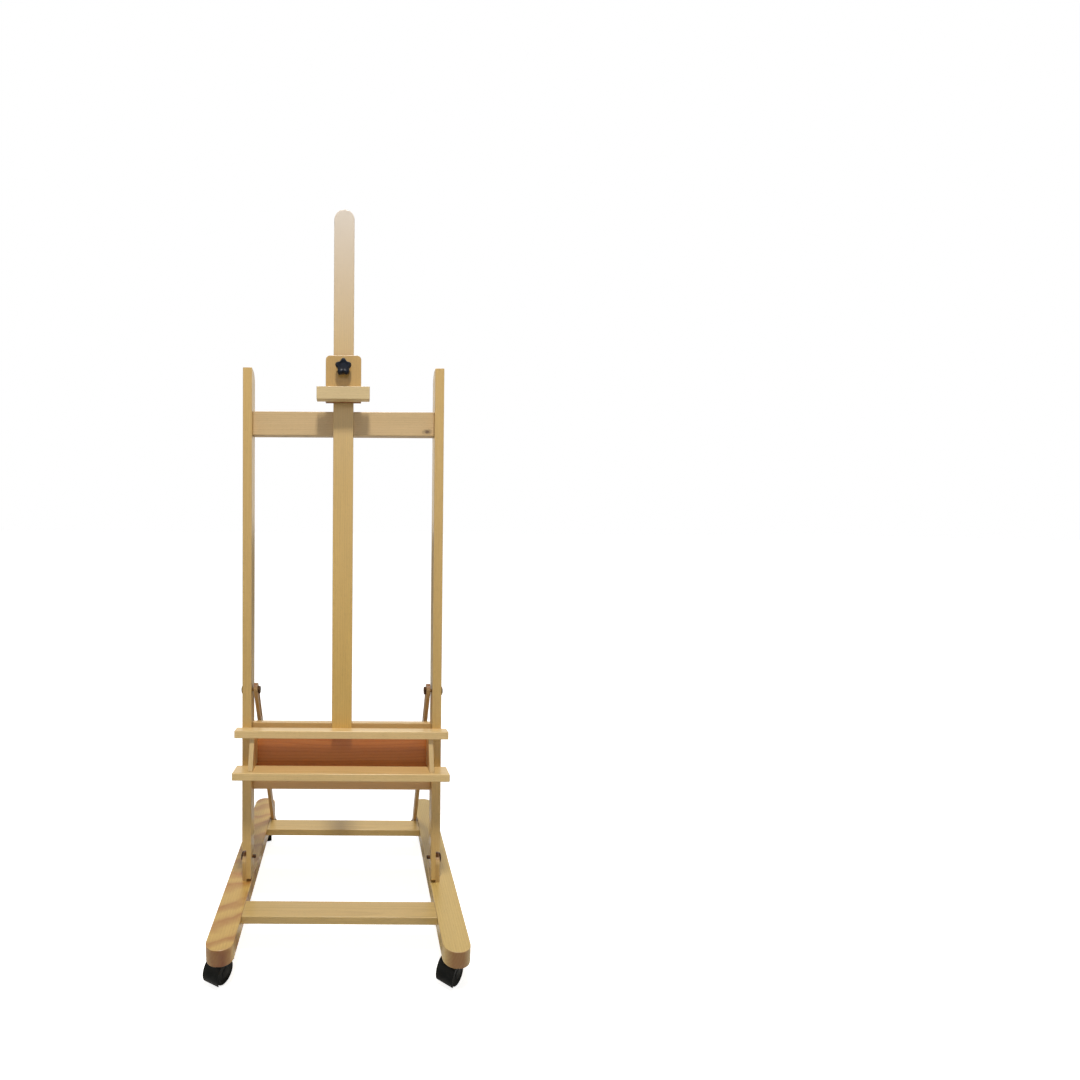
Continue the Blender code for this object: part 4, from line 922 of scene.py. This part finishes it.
blind = [(0, 0.013), (SHANK + BORE, 0.013), (SHANK + BORE, 0.0), (KNOB_NECK, 0.0)]
studded = [(0, -stud), (SHANK - 0.0006, -stud), (SHANK, 0.0006 - stud), (SHANK, 0.0), (KNOB_NECK, 0.0)]
for node, joint, body, direction, root in (
        ("holder_knob", "holder_knob_turn", "holder_knob", -DEPTH, studded),
        ("mast_clamp_knob", "mast_knob_turn", "mast_knob", DEPTH, blind)):
    knob = turned(f"star_{node}", root + knob_top, facing(direction, JOINTS[joint]["pos_m"], RISE), 120, 5)
    dress(knob, knob_finish, node, body)

# ---- Castors ----
# Four twin-wheel castors of black plastic. A hood arches over the wheels and carries the swivel
# socket, a stem with a round plate goes up into the runner.

WHEEL = 0.024
WHEEL_FACE, WHEEL_BACK = 0.017, 0.004  # outer and inner face of a wheel, from the castor's middle
AXLE = 0.003
HOOD_INNER, HOOD_OUTER = 0.0257, 0.0283
HOOD_HALF = 0.019
HOOD_SWEEP = (math.radians(30), math.radians(204))  # from the back rim over the top to the front rim
WEB_HALF = 0.003
WEB_ARCS = ((0.019, -180, 0, 19), (0.027, 20, 160, 21))  # radius, first and last angle, points
SOCKET = 0.0105
PIN, PIN_HOLE = 0.0033, 0.0072  # radius and depth of the socket's bore
ROLL_IN, ROLL_OUT = 0.0014, 0.0030  # rounding of a wheel's inner and outer rim

tyre = surface("wheel_nylon", MOULDED, (0.022, 0.022, 0.021), (0.004, 0.005, 0.005), 0.00003,
               gleam=0.10)
shell = surface("hood_nylon", MOULDED, (0.016, 0.017, 0.017), (0.003, 0.004, 0.004), 0.00002,
                gleam=0.12)
zinc = surface("zinc_plate", PLATED, (0.520, 0.520, 0.500), (0.330, 0.320, 0.300), 0.00003,
               metallic=1.0)


def arch(inner, outer, start, finish, steps=40):
    """The outline of a band between two radii: out along the one, back along the other, with a
    half-round rim at each end."""
    middle, half = (inner + outer) / 2, (outer - inner) / 2
    points, normals = [], []
    for angle in np.linspace(start, finish, steps):
        normals.append((math.cos(angle), math.sin(angle)))
        points.append((outer * math.cos(angle), outer * math.sin(angle)))
    for rim, turn, path in ((finish, 1, np.linspace(finish, start, steps)), (start, -1, ())):
        centre = (middle * math.cos(rim), middle * math.sin(rim))
        first = rim if turn > 0 else rim + math.pi
        for angle in np.linspace(first, first + math.pi, 7)[1:-1]:
            normals.append((math.cos(angle), math.sin(angle)))
            points.append((centre[0] + half * math.cos(angle), centre[1] + half * math.sin(angle)))
        for angle in path:
            normals.append((-math.cos(angle), -math.sin(angle)))
            points.append((inner * math.cos(angle), inner * math.sin(angle)))
    return np.array(points), np.array(normals)


for corner in ("front_left", "front_right", "rear_left", "rear_right"):
    swivel = Vector(JOINTS[f"castor_{corner}_swivel"]["pos_m"])
    spin = JOINTS[f"castor_{corner}_wheel_left_spin"]
    hub = Vector(spin["pos_m"])
    axle = Vector(spin["axis"]).normalized()
    trail = Vector((swivel.x - hub.x, swivel.y - hub.y, 0)).normalized()
    side_on = axes_from(trail, (0, 0, 1), trail.cross(Vector((0, 0, 1))), hub)
    upright = axes_from((1, 0, 0), (0, 1, 0), (0, 0, 1), (swivel.x, swivel.y, 0))
    low, high = span(f"castor_{corner}_hood")

    hood = plank(f"castor_cover_{corner}", arch(HOOD_INNER, HOOD_OUTER, *HOOD_SWEEP),
                 -HOOD_HALF, HOOD_HALF, side_on, 0.0011)
    socket = turned("socket", ((0, hub.z), (SOCKET, hub.z), (SOCKET, high[2] - 0.0008),
                               (SOCKET - 0.0008, high[2]), (0, high[2])), upright)
    clear = HOOD_INNER + 0.0002
    well = turned("well", ((0, -0.04), (clear, -0.04), (clear, 0.04), (0, 0.04)), side_on, 72)
    cut_with(socket, well)
    web_outline = [(radius * math.cos(angle), radius * math.sin(angle))
                   for radius, first, last, count in WEB_ARCS
                   for angle in np.linspace(math.radians(first), math.radians(last), count)]
    web = plank("web", rounded(web_outline, 0.0, 0), -WEB_HALF, WEB_HALF, side_on, 0.0002)
    cut_with(hood, socket, web, operation="UNION")
    floor_of_hole = high[2] - PIN_HOLE
    pin_hole = turned("pin_hole", ((0, floor_of_hole), (PIN, floor_of_hole), (PIN, 0.2), (0, 0.2)),
                      upright, 24)
    cut_with(hood, pin_hole)
    dress(hood, shell, f"castor_{corner}_hood", f"castor_{corner}")

    for name, sign in (("wheel_right", 1), ("wheel_left", -1)):
        axes = facing(axle * sign, hub)
        profile = [(0, WHEEL_FACE - 0.0007), (AXLE + BORE, WHEEL_FACE - 0.0007),
                   (AXLE + BORE, WHEEL_BACK), (WHEEL - ROLL_IN, WHEEL_BACK)]
        profile += [(WHEEL - ROLL_IN * (1 - math.sin(angle)), WHEEL_BACK + ROLL_IN * (1 - math.cos(angle)))
                    for angle in np.linspace(0, math.pi / 2, 5)[1:]]
        profile += [(WHEEL - ROLL_OUT * (1 - math.cos(angle)),
                     WHEEL_FACE - 0.0004 - ROLL_OUT * (1 - math.sin(angle)))
                    for angle in np.linspace(0, math.pi / 2, 7)]
        profile += [(0.0188, WHEEL_FACE - 0.0004), (0.0180, WHEEL_FACE - 0.0012),
                    (0.0100, WHEEL_FACE - 0.0014), (0.0092, WHEEL_FACE - 0.0006),
                    (0.0060, WHEEL_FACE - 0.0001), (0, WHEEL_FACE)]
        wheel = turned(f"castor_{name}_{corner}", profile, axes, 64)
        dress(wheel, tyre, f"castor_{corner}_{name}", f"castor_{corner}_{name}")

    rod_half = WHEEL_FACE - 0.0010
    pin = turned(f"axle_pin_{corner}", (
        (0, -rod_half), (AXLE - 0.0004, -rod_half), (AXLE, 0.0004 - rod_half),
        (AXLE, rod_half - 0.0004), (AXLE - 0.0004, rod_half), (0, rod_half)), facing(axle, hub), 24)
    dress(pin, zinc, f"castor_{corner}_axle", f"castor_{corner}")

    low, high = span(f"castor_{corner}_stem")
    plate_top = span("runner_left")[0][2] - FIT
    plate_under = plate_top - 0.0020
    stem = turned(f"stem_pin_{corner}", (
        (0, low[2]), (0.0026, low[2]), (0.0030, low[2] + 0.0004), (0.0030, plate_under - 0.0002),
        (0.0146, plate_under), (0.0150, plate_under + 0.0003), (0.0150, plate_top - 0.0002),
        (0.0040, plate_top), (0.0040, high[2] - 0.0006), (0.0034, high[2]), (0, high[2])), upright, 32)
    dress(stem, zinc, f"castor_{corner}_stem", "base")
